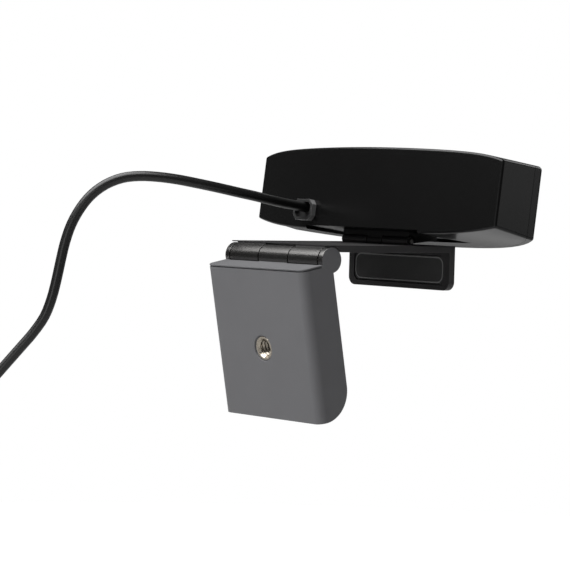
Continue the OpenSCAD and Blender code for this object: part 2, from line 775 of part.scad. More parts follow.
// The cord comes down onto the outermost turn, at one side of the hank
entry_x = hank_half - cord_d / 2;
entry_y = (hank_layers - 1) * cord_d / 2;
entry_drop = hank_half - sqrt(pow(hank_half, 2) - pow(hank_half - cord_d, 2));
hank_h = hank_run + 2 * hank_half;
tail_l = 24;
plug_l = 24;
plug_t = 7.6;
relief_l = 8;
module at_hank() {
    translate(CORD_ROUTE[len(CORD_ROUTE) - 1]) rotate([0, 0, hank_turn])
        translate([-entry_x, -entry_y, entry_drop]) children();
}
function unit(v) = v / norm(v);
function cord_ring(points, i) =
    let (ahead = points[min(i + 1, len(points) - 1)], behind = points[max(i - 1, 0)],
        along = unit(ahead - behind), side = unit(cross(along, [1, 0, 0])),
        up = cross(along, side))
    [for (k = [0 : cord_sides - 1])
        let (a = 360 * k / cord_sides)
        points[i] + cord_d / 2 * (cos(a) * side + sin(a) * up)];
module usb_cord() {
    color("#262627") {
        loft([for (i = [0 : len(CORD_ROUTE) - 1]) cord_ring(CORD_ROUTE, i)]);
        at_plug() cylinder(r = cord_d / 2, h = tail_l, $fn = 16);
    }
}
module cord_hank() {
    color("#262627") at_hank() translate([0, 0, -hank_h / 2])
        rotate([90, 90, 0]) translate([0, 0, -hank_t / 2])
            linear_extrude(hank_t) slot_2d(hank_h, 2 * hank_half);
}
tie_t = 1;
tie_h = 9;
tie_z = -hank_h / 2 - tie_h / 2;
hank_t = hank_layers * cord_d;
// The plug lies beside the hank, below the tie
plug_x = hank_bend - cord_d;
plug_y = hank_t / 2 + plug_t / 2 + fit_gap;
plug_z = tie_z - 6;
module cord_tie() {
    inner_w = 2 * hank_half + 2 * fit_gap;
    inner_t = hank_t / 2 + plug_y + cord_d / 2 + 2 * fit_gap;
    color("#111112") at_hank() translate([0, inner_t / 2 - hank_t / 2 - fit_gap, tie_z])
        linear_extrude(tie_h) difference() {
            round_rect_2d(inner_w + 2 * tie_t, inner_t + 2 * tie_t, 1.5);
            square([inner_w, inner_t], center = true);
        }
}
plug_w = 15;
shell_w = 12;
shell_h = 4.5;
shell_l = 12;
module at_plug() {
    at_hank() translate([plug_x, plug_y, plug_z]) children();
}
module plug_body() {
    color("#1c1c1d") at_plug() {
        translate([0, 0, -relief_l]) cylinder(r1 = 3.4, r2 = 2.4, h = relief_l);
        translate([0, 0, -relief_l - plug_l])
            linear_extrude(plug_l) round_rect_2d(plug_w, plug_t, 2);
    }
}
module plug_shell() {
    color("#b9bcc0") at_plug() translate([0, 0, -relief_l - plug_l - shell_l]) {
        linear_extrude(shell_l) difference() {
            square([shell_w, shell_h], center = true);
            square([shell_w - 0.6, shell_h - 0.6], center = true);
        }
        translate([-shell_w / 2 + 0.3, 0, 0.4])
            cube([shell_w - 0.6, shell_h / 2 - 0.3, shell_l - 0.4]);
    }
}

rear_housing();
front_bezel();
front_window();
main_board();
image_sensor();
lens_holder();
lens_barrel();
lens_glass();
lens_ring();
processor_chip();
microphones();
status_led();
light_pipe();
cord_connector();
inner_lead();
crimp_sleeve();
cord_gland();
bezel_screws();
board_screws();
tilt_foot();
foot_screws();
usb_cord();
cord_hank();
cord_tie();
plug_body();
plug_shell();
clip_plate();
lip_pad();
plate_pad();
tilt_pin();
friction_washers();
leg_shell();
leg_cover();
leg_pad();
leg_screws();
tripod_insert();
hinge_pin();
hinge_cap();
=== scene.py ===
"""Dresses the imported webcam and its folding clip: housings, glass, clip, leg, cord and stage."""

import json
import math

import bmesh
import bpy
from bpy.props import FloatProperty, FloatVectorProperty, IntProperty, PointerProperty
from mathutils import Matrix, Vector

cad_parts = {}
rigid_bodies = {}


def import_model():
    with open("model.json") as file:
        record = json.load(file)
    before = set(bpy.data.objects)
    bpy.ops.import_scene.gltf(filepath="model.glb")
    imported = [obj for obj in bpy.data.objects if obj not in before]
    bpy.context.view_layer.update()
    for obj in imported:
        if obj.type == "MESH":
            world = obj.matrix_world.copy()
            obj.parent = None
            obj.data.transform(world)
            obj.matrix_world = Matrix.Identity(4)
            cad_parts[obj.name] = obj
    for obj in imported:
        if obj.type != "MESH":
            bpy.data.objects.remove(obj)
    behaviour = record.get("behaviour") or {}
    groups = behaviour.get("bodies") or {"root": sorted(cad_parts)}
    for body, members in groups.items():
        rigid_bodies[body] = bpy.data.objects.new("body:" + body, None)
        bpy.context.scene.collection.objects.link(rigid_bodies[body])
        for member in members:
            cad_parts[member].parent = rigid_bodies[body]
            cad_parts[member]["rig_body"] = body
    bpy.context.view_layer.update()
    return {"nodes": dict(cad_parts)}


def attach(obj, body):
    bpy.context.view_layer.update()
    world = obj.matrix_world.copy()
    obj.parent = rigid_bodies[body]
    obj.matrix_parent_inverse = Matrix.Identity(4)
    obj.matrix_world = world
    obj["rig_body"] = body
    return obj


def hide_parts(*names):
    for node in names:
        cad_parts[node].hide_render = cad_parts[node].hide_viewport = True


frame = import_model()
NODES = frame["nodes"]

bl_info = {
    "name": "Bar Webcam Dresser",
    "version": (1, 0, 0),
    "blender": (4, 5, 0),
    "location": "3D View > Sidebar > Webcam",
    "description": "Builds the shells, cord and finishes of a bar webcam on a folding clip",
    "category": "Object",
}

MM = 0.001
# The gap between pieces that lie against each other, in millimetres
FIT = 0.1
# Sides of the round outlines, from the largest to the smallest
SIDES_BOW = 480
SIDES_FLOOR = 96
SIDES_LENS = 64
SIDES_HOLE = 32
SIDES_TINY = 16
# Steps round a small corner, and round a collar's eased edge
SMALL_CORNER = 3
COLLAR_SEGMENTS = 3
# How far a cutter reaches past what it cuts, in millimetres
CUT_PAST = 1.0
# Points closer than this are one, in millimetres and in metres
WELD_MM = 1e-5
WELD_M = 2e-6

# Camera body, in millimetres, in the body's own frame
HALF_W = 59.75
END_DEPTH = 18.3
FRONT_BOW = 22.24
REAR_BOW = 5.3
END_H = 23.2
TOP_CROWN = 3.14
BELLY_CROWN = 3.7
HEEL_RISE = 1.1
CHIN_CROWN = 1.4
CHIN_DROP = 1.7
SHOULDER = 0.6
SHOULDER_POWER = 9
EDGE_R = 0.8
CORNER_STEPS = 6
CAP_RINGS = 6
PITCH = math.radians(7.5)
TROUGH_W = 56.0
TROUGH_FRONT = 22.0
TROUGH_DEPTH = 1.2
FOOT_DROP = 3.1
TILT_Y_IN_BODY = -4.36
# The tilt axis in the clip's frame, as Y and Z
TILT_IN_CLIP = (-14.4, 3.4)

# The front, with its window, lens disc, light and microphone holes
BEZEL_T = 2.4
WINDOW_T = 1.2
WINDOW_W = 98.0
WINDOW_H = 17.0
WINDOW_LIP = 1.5
OPENING_INSET = 7.0
OPENING_R = 3.0
PANE_BACK = 0.15
DISC_BACK = 0.2
DISC_GAP = 0.02
LENS_HOLE_R = 6.8
LED_X = 8.7
LED_HOLE_R = 0.9
MIC_X = 30.0
MIC_Z = 10.4
MIC_R = 0.6
# Where the cutters of the front start and end along Y
FRONT_CUT = (-60.0, 0.0)
MIC_CUT = (-60.0, -20.0)

# The gland, where the cord leaves the housing
GLAND_X = 28.4
GLAND_DROP = 6.7
GLAND_RIM = 0.95
GLAND_HOLE_R = 2.85
GLAND_CUT = (-5.0, 12.0)
# How far the painted shade in the gland's hollow keeps from its rim and from its back
SHADE_FROM_RIM = 0.9 * GLAND_RIM
SHADE_FROM_BACK = 0.1

# Edge radii, in millimetres, and the angles in degrees above which an edge gets one
HOUSING_EDGE = 0.25
BEZEL_EDGE = 0.2
PANE_EDGE = 0.15
GLAND_EDGE = 0.18
FOOT_EDGE = 0.15
PLUG_EDGE = 0.5
SLEEVE_EDGE = 0.08
TONGUE_EDGE = 0.1
BEAD_EDGE = 0.08
EDGE_ANGLE = 35.0
BODY_ANGLE = 50.0
COLLAR_ANGLE = 30.0
# Angles in degrees above which shading shows an edge, and below which faces are one plane
CRISP_ANGLE = 32.0
THREAD_ANGLE = 28.0
PLANE_ANGLE = 0.6

# The raised line round the lip's pad, whose pale rubber paints the highlight along the pad's edge
BEAD_INSET = 0.5
BEAD_W = 0.45
BEAD_OUT = 0.12
BEAD_CORNER = 2.8

# The hinge in the clip's frame, and the leg in its own frame below it
HINGE = (0.0, 28.0, -2.6)
BARREL_R = 4.2
KNUCKLE_SLACK = 0.05
LEG_LEAN = math.radians(11)
LEG_REAR = 12.8
LEG_CORNER_R = 3.0
SEAM_DEPTH = 0.7
SEAM_W = 0.42
SEAM_LOW = -1.65
SEAM_FROM_BARREL = 0.4

# The tripod insert and its thread of a quarter inch
INSERT_R = 4.0
INSERT_BACK = 3.0
INSERT_DROP = 28.1
INSERT_SUNK = 0.4
INSERT_CHAMFER = 0.12
MOUTH_DEPTH = 0.7
THREAD_R = 2.6
THREAD_ROOT = 3.12
THREAD_PITCH = 1.27
THREAD_STEPS = 8
THREAD_RUNOUT = 0.5
THREAD_FLAT = 1.15

# The cord and the hank that it is wound into
CORD_D = 3.5
CORD_STEP = 2.0
CORD_EXIT = (FIT, 2.0, 3.4)
HANK_RUN = 15 * CORD_D
HANK_BEND = 3 * CORD_D
HANK_LAYERS = 4
HANK_TURN = math.radians(-40)
HANK_HALF = HANK_BEND + 1.5 * CORD_D
HANK_H = HANK_RUN + 2 * HANK_HALF
HANK_T = HANK_LAYERS * CORD_D
RUN_STEPS = 4
# The tail from the hank's last bend to the plug, as steps from the plug's axis and that bend
TAIL_ROUTE = [
    (3.4, -1.0, -1.5), (2.8, -0.6, -6), (1.3, -0.2, -11.5), (0.3, 0, -16), (0, 0, -20.5),
]
TAIL_BEND_Y = -1.2

# The tie round the hank, and the plug that it holds
TIE_H = 9.0
TIE_T = 0.75
TIE_CHAMFER = 0.25
TIE_GAP = 0.15
TIE_R = 3.0
TIE_STEPS = 8
PLUG_T = 7.6
PLUG_L = 24.0
RELIEF_L = 8.0
PLUG_BELOW_TIE = 6.0
PLUG_X = HANK_BEND - CORD_D
PLUG_Y = HANK_T / 2 + PLUG_T / 2 + FIT
PLUG_Z = -HANK_H / 2 - TIE_H / 2 - PLUG_BELOW_TIE
SLEEVE_W = 12.0
SLEEVE_T = 4.5
SLEEVE_L = 12.0
SLEEVE_R = 0.6
SLEEVE_INNER_R = 0.4
SLEEVE_WALL = 0.3
SLEEVE_FLOOR = 0.5
SLEEVE_WINDOW = (2.2, 2.0)
SLEEVE_WINDOW_R = 0.2
SLEEVE_WINDOW_X = 2.9
SLEEVE_WINDOW_Z = 6.6
TONGUE_W = 11.2
TONGUE_T = 1.8
TONGUE_R = 0.2
TONGUE_Y = 0.95
TONGUE_SPAN = (0.5, 11.4)

# The view and the stage, in metres
VIEW_FROM = (-0.59705, 0.53417, 0.02006)
VIEW_ALONG = (0.7612, -0.6473, -0.0406)
VIEW_ROLL = math.radians(1.54)
VIEW_LENS = 149.7
SKY_LIGHT = 0.09
FLOOR_R = 0.95
# The paper's glow and where it rises to full, as distances from the middle
PAPER_GLOW = 0.5
PAPER_FADE = (0.35, 0.9)
# Each lamp's name, place, aim, width and power in watts
LAMPS = (
    ("overhead", (0.4, 0.7, 1.0), (0.3, 0.5, 0), 1.5, 37.0),
    ("side_fill", (-0.85, -0.75, 0.25), (0, 0, 0), 0.6, 0.9),
    ("front_fill", (0.2, -1.1, 0.55), (0, -0.05, 0), 0.8, 3.0),
    ("rear_fill", (-0.35, 1.1, -0.05), (0, 0, -0.05), 0.5, 1.5),
)

# The cord's route below the gland, in millimetres, as in the solid model
CORD_ROUTE = [
    (28.6, 3, 15), (29.2, 9, 16), (30.3, 15.2, 17.2), (32.2, 21.5, 18.4), (34.8, 27.6, 19.7),
    (38, 34, 21), (41.7, 40.2, 22.2), (45.7, 45.7, 22.9), (49.6, 50.6, 23), (53.2, 55, 22.2),
    (56.8, 59.2, 19.9), (60, 62.7, 16.3), (62.6, 65.4, 11.6), (64.6, 67.6, 6), (66, 69, 0),
    (67, 70, -6.5), (67.9, 70.9, -13), (69, 72, -19.5), (70.6, 73.6, -25.6),
    (73.2, 76.2, -31.2), (76.6, 79.6, -37), (80, 83, -42.7), (83.4, 86.4, -48.4),
    (86.7, 89.9, -54.2), (89.7, 93.2, -60.2), (92, 95.8, -66.4), (93.4, 97.4, -72.8),
    (94, 98, -78.4), (94, 98, -81),
]


# --- Shapes of the camera body ------------------------------------------------------
def arc_radius(rise):
    """Radius of an arc that rises this much over the body's whole width."""
    return (HALF_W**2 + rise**2) / (2 * rise)


FRONT_R = arc_radius(FRONT_BOW)
FRONT_CENTRE = FRONT_R - END_DEPTH - FRONT_BOW


def bow(x, rise):
    """What is left of an arc's rise at x."""
    r = arc_radius(rise)
    return math.sqrt(r * r - x * x) - (r - rise)


def rear_y(x):
    return bow(x, REAR_BOW)


def front_y(x):
    return -END_DEPTH - bow(x, FRONT_BOW)


def top_z(x):
    t = abs(x) / HALF_W
    quick = 1 - t**SHOULDER_POWER
    return END_H / 2 + TOP_CROWN * ((1 - SHOULDER) * (1 - t * t) + SHOULDER * quick)


def belly_z(x):
    return HEEL_RISE - END_H / 2 - BELLY_CROWN * (1 - (x / HALF_W) ** 4)


def chin_z(x):
    t = abs(x) / HALF_W
    return HEEL_RISE - CHIN_DROP - END_H / 2 - CHIN_CROWN * (1 - t**3)


TROUGH_Z = belly_z(TROUGH_W / 2) + TROUGH_DEPTH


def body_matrix():
    """From the camera body's own frame to the clip's, both in millimetres."""
    y, z = TILT_Y_IN_BODY, TROUGH_Z - FOOT_DROP
    c, s = math.cos(PITCH), math.sin(PITCH)
    at = Vector((0, TILT_IN_CLIP[0] - y * c + z * s, TILT_IN_CLIP[1] - y * s - z * c))
    return Matrix.Translation(at) @ Matrix.Rotation(PITCH, 4, "X")


IN_BODY = body_matrix()
IN_LEG = Matrix.Translation(HINGE) @ Matrix.Rotation(-LEG_LEAN, 4, "X")


def section(x, inset, r):
    """One ring round the camera body, drawn in by an inset and with corners of radius r."""
    low_y, high_y = front_y(x) + inset, rear_y(x) - inset
    high_z = top_z(x) - inset
    lows = (chin_z(x) + inset, belly_z(x) + inset)
    ring = []
    for corner in range(4):
        cy = high_y - r if corner in (0, 3) else low_y + r
        cz = high_z - r if corner < 2 else lows[corner - 2] + r
        for step in range(CORNER_STEPS + 1):
            a = math.radians(90 * (corner + step / CORNER_STEPS))
            ring.append((x, cy + r * math.cos(a), cz + r * math.sin(a)))
    return ring


def stations(spans):
    """Where the body's rings stand, with the inset and corner radius of each."""
    reach = HALF_W - EDGE_R
    cap = []
    for i in range(CAP_RINGS, 0, -1):
        a = math.radians(90 * i / CAP_RINGS)
        inset = EDGE_R * (1 - math.cos(a))
        cap.append((reach + EDGE_R * math.sin(a), inset, EDGE_R * max(math.cos(a), 0.1)))
    middle = []
    for i in range(-spans, spans + 1):
        middle.append((reach * math.sin(math.pi / 2 * i / spans), 0, EDGE_R))
    return [(-x, inset, r) for x, inset, r in cap] + middle + cap[::-1]


# --- Mesh tools ---------------------------------------------------------------------
def link(name, mesh):
    obj = bpy.data.objects.new(name, mesh)
    bpy.context.scene.collection.objects.link(obj)
    return obj


def from_points(name, verts, faces, matrix=None):
    """A mesh object from millimetre points, with its faces turned outwards."""
    mesh = bpy.data.meshes.new(name)
    mesh.from_pydata([Vector(v) for v in verts], [], faces)
    mesh.update()
    bm = bmesh.new()
    bm.from_mesh(mesh)
    bmesh.ops.remove_doubles(bm, verts=bm.verts, dist=WELD_MM)
    bmesh.ops.recalc_face_normals(bm, faces=bm.faces)
    bm.to_mesh(mesh)
    bm.free()
    if matrix is not None:
        mesh.transform(matrix)
    return link(name, mesh)


def loft(name, rings):
    """A closed form through rings of equally many points."""
    n = len(rings[0])
    verts = [p for ring in rings for p in ring]
    faces = []
    for i in range(len(rings) - 1):
        for j in range(n):
            k = (j + 1) % n
            faces.append((i * n + j, i * n + k, (i + 1) * n + k, (i + 1) * n + j))
    faces.append(tuple(range(n - 1, -1, -1)))
    faces.append(tuple((len(rings) - 1) * n + j for j in range(n)))
    return from_points(name, verts, faces)


def closed_strip(name, rings, matrix):
    """A form whose rings follow each other round and meet again."""
    count, n = len(rings), len(rings[0])
    faces = []
    for i in range(count):
        k = (i + 1) % count
        for j in range(n):
            h = (j + 1) % n
            faces.append((i * n + j, i * n + h, k * n + h, k * n + j))
    return from_points(name, [p for ring in rings for p in ring], faces, matrix)


def body_form(name, spans):
    """The camera body's whole form, housing and bezel in one."""
    return loft(name, [section(x, inset, r) for x, inset, r in stations(spans)])


def prism(name, outline, low, high, axis="Z"):
    """A bar with a flat outline, drawn out along Z, or along Y for an outline in X and Z."""
    def place(p, h):
        return (p[0], p[1], h) if axis == "Z" else (p[0], h, p[1])

    return loft(name, [[place(p, low) for p in outline], [place(p, high) for p in outline]])


def circle_outline(r, n=SIDES_LENS, cx=0.0, cy=0.0):
    turn = 2 * math.pi / n
    return [(cx + r * math.cos(turn * i), cy + r * math.sin(turn * i)) for i in range(n)]


def slot_outline(w, h, n=24):
    """A long hole with round ends."""
    pts = []
    for side, start in ((1, -90), (-1, 90)):
        for i in range(n + 1):
            a = math.radians(start + 180 * i / n)
            pts.append((side * (w - h) / 2 + h / 2 * math.cos(a), h / 2 * math.sin(a)))
    return pts


def rect_outline(w, h, r, n=6, cx=0.0, cy=0.0):
    """A rectangle with round corners."""
    pts = []
    for corner, (sx, sy) in enumerate(((1, 1), (-1, 1), (-1, -1), (1, -1))):
        for i in range(n + 1):
            a = math.radians(90 * (corner + i / n))
            x = cx + sx * (w / 2 - r) + r * math.cos(a)
            pts.append((x, cy + sy * (h / 2 - r) + r * math.sin(a)))
    return pts


def extent(points):
    """The lowest and highest corner of some points."""
    low = [min(p[k] for p in points) for k in range(3)]
    high = [max(p[k] for p in points) for k in range(3)]
    return low, high


def front_cylinder(inset):
    """A cutter that follows the bowed front, set back by the inset."""
    outline = circle_outline(FRONT_R - inset, SIDES_BOW, 0, FRONT_CENTRE)
    return prism("cut", outline, -END_H, END_H)


def carve(obj, cutter, operation="DIFFERENCE"):
    """Applies one boolean and throws its cutter away."""
    mod = obj.modifiers.new("carve", "BOOLEAN")
    mod.operation = operation
    mod.solver = "EXACT"
    mod.object = cutter
    settle(obj)
    gone = cutter.data
    bpy.data.objects.remove(cutter)
    bpy.data.meshes.remove(gone)
    return obj


def settle(obj):
    """Turns what the modifiers give into the object's own mesh."""
    graph = bpy.context.evaluated_depsgraph_get()
    mesh = bpy.data.meshes.new_from_object(obj.evaluated_get(graph))
    old = obj.data
    obj.modifiers.clear()
    obj.data = mesh
    mesh.name = obj.name
    bpy.data.meshes.remove(old)
    return obj


def shade(obj, angle=CRISP_ANGLE):
    """Smooth faces with crisp edges above the angle."""
    mesh = obj.data
    mesh.polygons.foreach_set("use_smooth", [True] * len(mesh.polygons))
    mesh.set_sharp_from_angle(angle=math.radians(angle))
    mod = obj.modifiers.new("weights", "WEIGHTED_NORMAL")
    mod.keep_sharp = True
    return settle(obj)


def ease_edges(obj, width, segments=2, angle=EDGE_ANGLE):
    """Rounds every edge above the angle by a small width in millimetres."""
    if width > 0:
        mod = obj.modifiers.new("edges", "BEVEL")
        mod.width = width * MM
        mod.segments = segments
        mod.limit_method = "ANGLE"
        mod.angle_limit = math.radians(angle)
        mod.use_clamp_overlap = True
        settle(obj)
    return shade(obj)


def to_row(obj, matrix=None):
    """Millimetres in the body's or the row's frame to metres in the row's frame."""
    obj.data.transform(Matrix.Scale(MM, 4) @ (matrix or Matrix.Identity(4)))
    return obj


def eased_copy(node, name, width, angle=EDGE_ANGLE, segments=2):
    """A copy of a CAD node with small edge radii, which stands for that node."""
    mesh = NODES[node].data.copy()
    mesh.name = name
    bm = bmesh.new()
    bm.from_mesh(mesh)
    bmesh.ops.remove_doubles(bm, verts=bm.verts, dist=WELD_M)
    bmesh.ops.dissolve_limit(
        bm, angle_limit=math.radians(PLANE_ANGLE), verts=bm.verts, edges=bm.edges, delimit=set()
    )
    bmesh.ops.recalc_face_normals(bm, faces=bm.faces)
    bm.to_mesh(mesh)
    bm.free()
    for layer in list(mesh.attributes):
        if layer.name in ("custom_normal", "sharp_edge", "sharp_face"):
            mesh.attributes.remove(layer)
    obj = link(name, mesh)
    ease_edges(obj, width, segments, angle)
    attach(obj, NODES[node]["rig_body"])
    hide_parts(node)
    return obj


def finish_piece(obj, finish, body=None):
    """Gives a piece its finish, and a body where it doesn't ride on one yet."""
    obj.data.materials.clear()
    obj.data.materials.append(MATERIALS[finish])
    if body:
        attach(obj, body)
    return obj


# --- Materials ----------------------------------------------------------------------
MATERIALS = {}
# Depth of the moulded grain and of brushed scratches, in millimetres
GRAIN_HEIGHT = 0.02
BRUSH_HEIGHT = 0.01
# The second tone of a metal, as a share of its first
METAL_SHADE = 0.86
# Kinds of a node group's sockets
NUMBER = "NodeSocketFloat"
VECTOR = "NodeSocketVector"
COLOUR = "NodeSocketColor"


def linear(v):
    """A screen value from 0 to 1 as light."""
    return v / 12.92 if v <= 0.04045 else ((v + 0.055) / 1.055) ** 2.4


def grey(r, g=None, b=None):
    """A linear colour from screen values of 0 to 255."""
    g = r if g is None else g
    b = r if b is None else b
    return (linear(r / 255), linear(g / 255), linear(b / 255), 1.0)


def new_group(name, inputs, outputs):
    """A node group, with its named inputs and their first values, and its named outputs."""
    group = bpy.data.node_groups.new(name, "ShaderNodeTree")
    for label, (kind, value) in inputs.items():
        socket = group.interface.new_socket(label, in_out="INPUT", socket_type=kind)
        socket.default_value = value
    for label, kind in outputs.items():
        group.interface.new_socket(label, in_out="OUTPUT", socket_type=kind)
    return group, group.nodes.new("NodeGroupInput"), group.nodes.new("NodeGroupOutput")


def varied_roughness(group, given, noise):
    """The given roughness, moved up and down by a noise."""
    nodes, links = group.nodes, group.links
    spread = nodes.new("ShaderNodeMapRange")
    spread.inputs["To Min"].default_value = -0.5
    spread.inputs["To Max"].default_value = 0.5
    times = nodes.new("ShaderNodeMath")
    times.operation = "MULTIPLY"
    plus = nodes.new("ShaderNodeMath")
    plus.operation = "ADD"
    links.new(noise.outputs["Fac"], spread.inputs["Value"])
    links.new(spread.outputs["Result"], times.inputs[0])
    links.new(given.outputs["Variation"], times.inputs[1])
    links.new(times.outputs["Value"], plus.inputs[0])
    links.new(given.outputs["Roughness"], plus.inputs[1])
    return plus.outputs["Value"]


def grain_group():
    """Moulded texture: pits at one scale with slow unevenness, as a height and a roughness."""
    name = "moulded_grain"
    if name in bpy.data.node_groups:
        return bpy.data.node_groups[name]
    group, given, out = new_group(
        name, {"Scale": (NUMBER, 2600.0), "Roughness": (NUMBER, 0.5), "Variation": (NUMBER, 0.1)},
        {"Height": NUMBER, "Roughness": NUMBER},
    )
    nodes, links = group.nodes, group.links
    coords = nodes.new("ShaderNodeTexCoord")
    fine = nodes.new("ShaderNodeTexNoise")
    fine.inputs["Detail"].default_value = 2.0
    fine.inputs["Roughness"].default_value = 0.6
    slow = nodes.new("ShaderNodeTexNoise")
    slow.inputs["Scale"].default_value = 55.0
    slow.inputs["Detail"].default_value = 3.0
    links.new(coords.outputs["Object"], fine.inputs["Vector"])
    links.new(coords.outputs["Object"], slow.inputs["Vector"])
    links.new(given.outputs["Scale"], fine.inputs["Scale"])
    links.new(fine.outputs["Fac"], out.inputs["Height"])
    links.new(varied_roughness(group, given, slow), out.inputs["Roughness"])
    return group


def drift_group():
    """A slow drift of colour between two tones."""
    name = "tone_drift"
    if name in bpy.data.node_groups:
        return bpy.data.node_groups[name]
    group, given, out = new_group(
        name,
        {
            "Tone": (COLOUR, (0.1, 0.1, 0.1, 1.0)), "Second Tone": (COLOUR, (0.12, 0.12, 0.12, 1.0)),
            "Scale": (NUMBER, 90.0),
        },
        {"Color": COLOUR},
    )
    nodes, links = group.nodes, group.links
    coords = nodes.new("ShaderNodeTexCoord")
    noise = nodes.new("ShaderNodeTexNoise")
    noise.inputs["Detail"].default_value = 4.0
    mix = nodes.new("ShaderNodeMix")
    mix.data_type = "RGBA"
    links.new(coords.outputs["Object"], noise.inputs["Vector"])
    links.new(given.outputs["Scale"], noise.inputs["Scale"])
    links.new(noise.outputs["Fac"], mix.inputs["Factor"])
    # A Mix node's colour sockets share their names with its number sockets
    links.new(given.outputs["Tone"], mix.inputs[6])
    links.new(given.outputs["Second Tone"], mix.inputs[7])
    links.new(mix.outputs[2], out.inputs["Color"])
    return group


def brushed_group():
    """Fine scratches drawn out along one direction, as a height and a roughness."""
    name = "brushed_lines"
    if name in bpy.data.node_groups:
        return bpy.data.node_groups[name]
    group, given, out = new_group(
        name,
        {
            "Along": (VECTOR, (40.0, 4000.0, 4000.0)), "Roughness": (NUMBER, 0.35),
            "Variation": (NUMBER, 0.2),
        },
        {"Height": NUMBER, "Roughness": NUMBER},
    )
    nodes, links = group.nodes, group.links
    coords = nodes.new("ShaderNodeTexCoord")
    stretch = nodes.new("ShaderNodeVectorMath")
    stretch.operation = "MULTIPLY"
    noise = nodes.new("ShaderNodeTexNoise")
    noise.inputs["Scale"].default_value = 1.0
    noise.inputs["Detail"].default_value = 2.0
    links.new(coords.outputs["Object"], stretch.inputs[0])
    links.new(given.outputs["Along"], stretch.inputs[1])
    links.new(stretch.outputs["Vector"], noise.inputs["Vector"])
    links.new(noise.outputs["Fac"], out.inputs["Height"])
    links.new(varied_roughness(group, given, noise), out.inputs["Roughness"])
    return group


def principled(name):
    """A new material, with its nodes, its links and its shader."""
    mat = bpy.data.materials.new(name)
    mat.use_nodes = True
    return mat, mat.node_tree.nodes, mat.node_tree.links, mat.node_tree.nodes["Principled BSDF"]


def add_group(nodes, tree, values):
    node = nodes.new("ShaderNodeGroup")
    node.node_tree = tree
    for label, value in values.items():
        node.inputs[label].default_value = value
    return node


def textured(name, tones, tree, values, bump, height_mm):
    """A material whose colour, roughness and relief come from the shared groups."""
    mat, nodes, links, shader = principled(name)
    tone = add_group(nodes, drift_group(), tones)
    texture = add_group(nodes, tree, values)
    relief = nodes.new("ShaderNodeBump")
    relief.inputs["Strength"].default_value = bump
    relief.inputs["Distance"].default_value = height_mm * MM
    links.new(tone.outputs["Color"], shader.inputs["Base Color"])
    links.new(texture.outputs["Roughness"], shader.inputs["Roughness"])
    links.new(texture.outputs["Height"], relief.inputs["Height"])
    links.new(relief.outputs["Normal"], shader.inputs["Normal"])
    return mat, shader


def moulded(name, colour, rough, grain=2600.0, bump=0.12, drift=1.12, variation=0.1, coat=0.0,
            specular=0.5):
    """Moulded plastic or rubber."""
    second = tuple(min(c * drift, 1.0) for c in colour[:3]) + (1.0,)
    mat, shader = textured(
        name, {"Tone": colour, "Second Tone": second}, grain_group(),
        {"Scale": grain, "Roughness": rough, "Variation": variation}, bump, GRAIN_HEIGHT,
    )
    shader.inputs["Coat Weight"].default_value = coat
    shader.inputs["Coat Roughness"].default_value = 0.15
    shader.inputs["Specular IOR Level"].default_value = specular
    return mat


def metal(name, colour, rough, along=(40.0, 4000.0, 4000.0), bump=0.1, variation=0.2):
    """Turned, drawn or plated metal."""
    second = tuple(c * METAL_SHADE for c in colour[:3]) + (1.0,)
    mat, shader = textured(
        name, {"Tone": colour, "Second Tone": second, "Scale": 300.0}, brushed_group(),
        {"Along": along, "Roughness": rough, "Variation": variation}, bump, BRUSH_HEIGHT,
    )
    shader.inputs["Metallic"].default_value = 1.0
    return mat


def clear_glass(name, colour, rough, alpha):
    """Coated glass that lets what lies behind it show."""
    mat, nodes, links, shader = principled(name)
    texture = add_group(
        nodes, grain_group(), {"Scale": 400.0, "Roughness": rough, "Variation": 0.02}
    )
    shader.inputs["Base Color"].default_value = colour
    shader.inputs["Alpha"].default_value = alpha
    shader.inputs["Coat Weight"].default_value = 0.6
    shader.inputs["Coat Roughness"].default_value = 0.03
    links.new(texture.outputs["Roughness"], shader.inputs["Roughness"])
    return mat


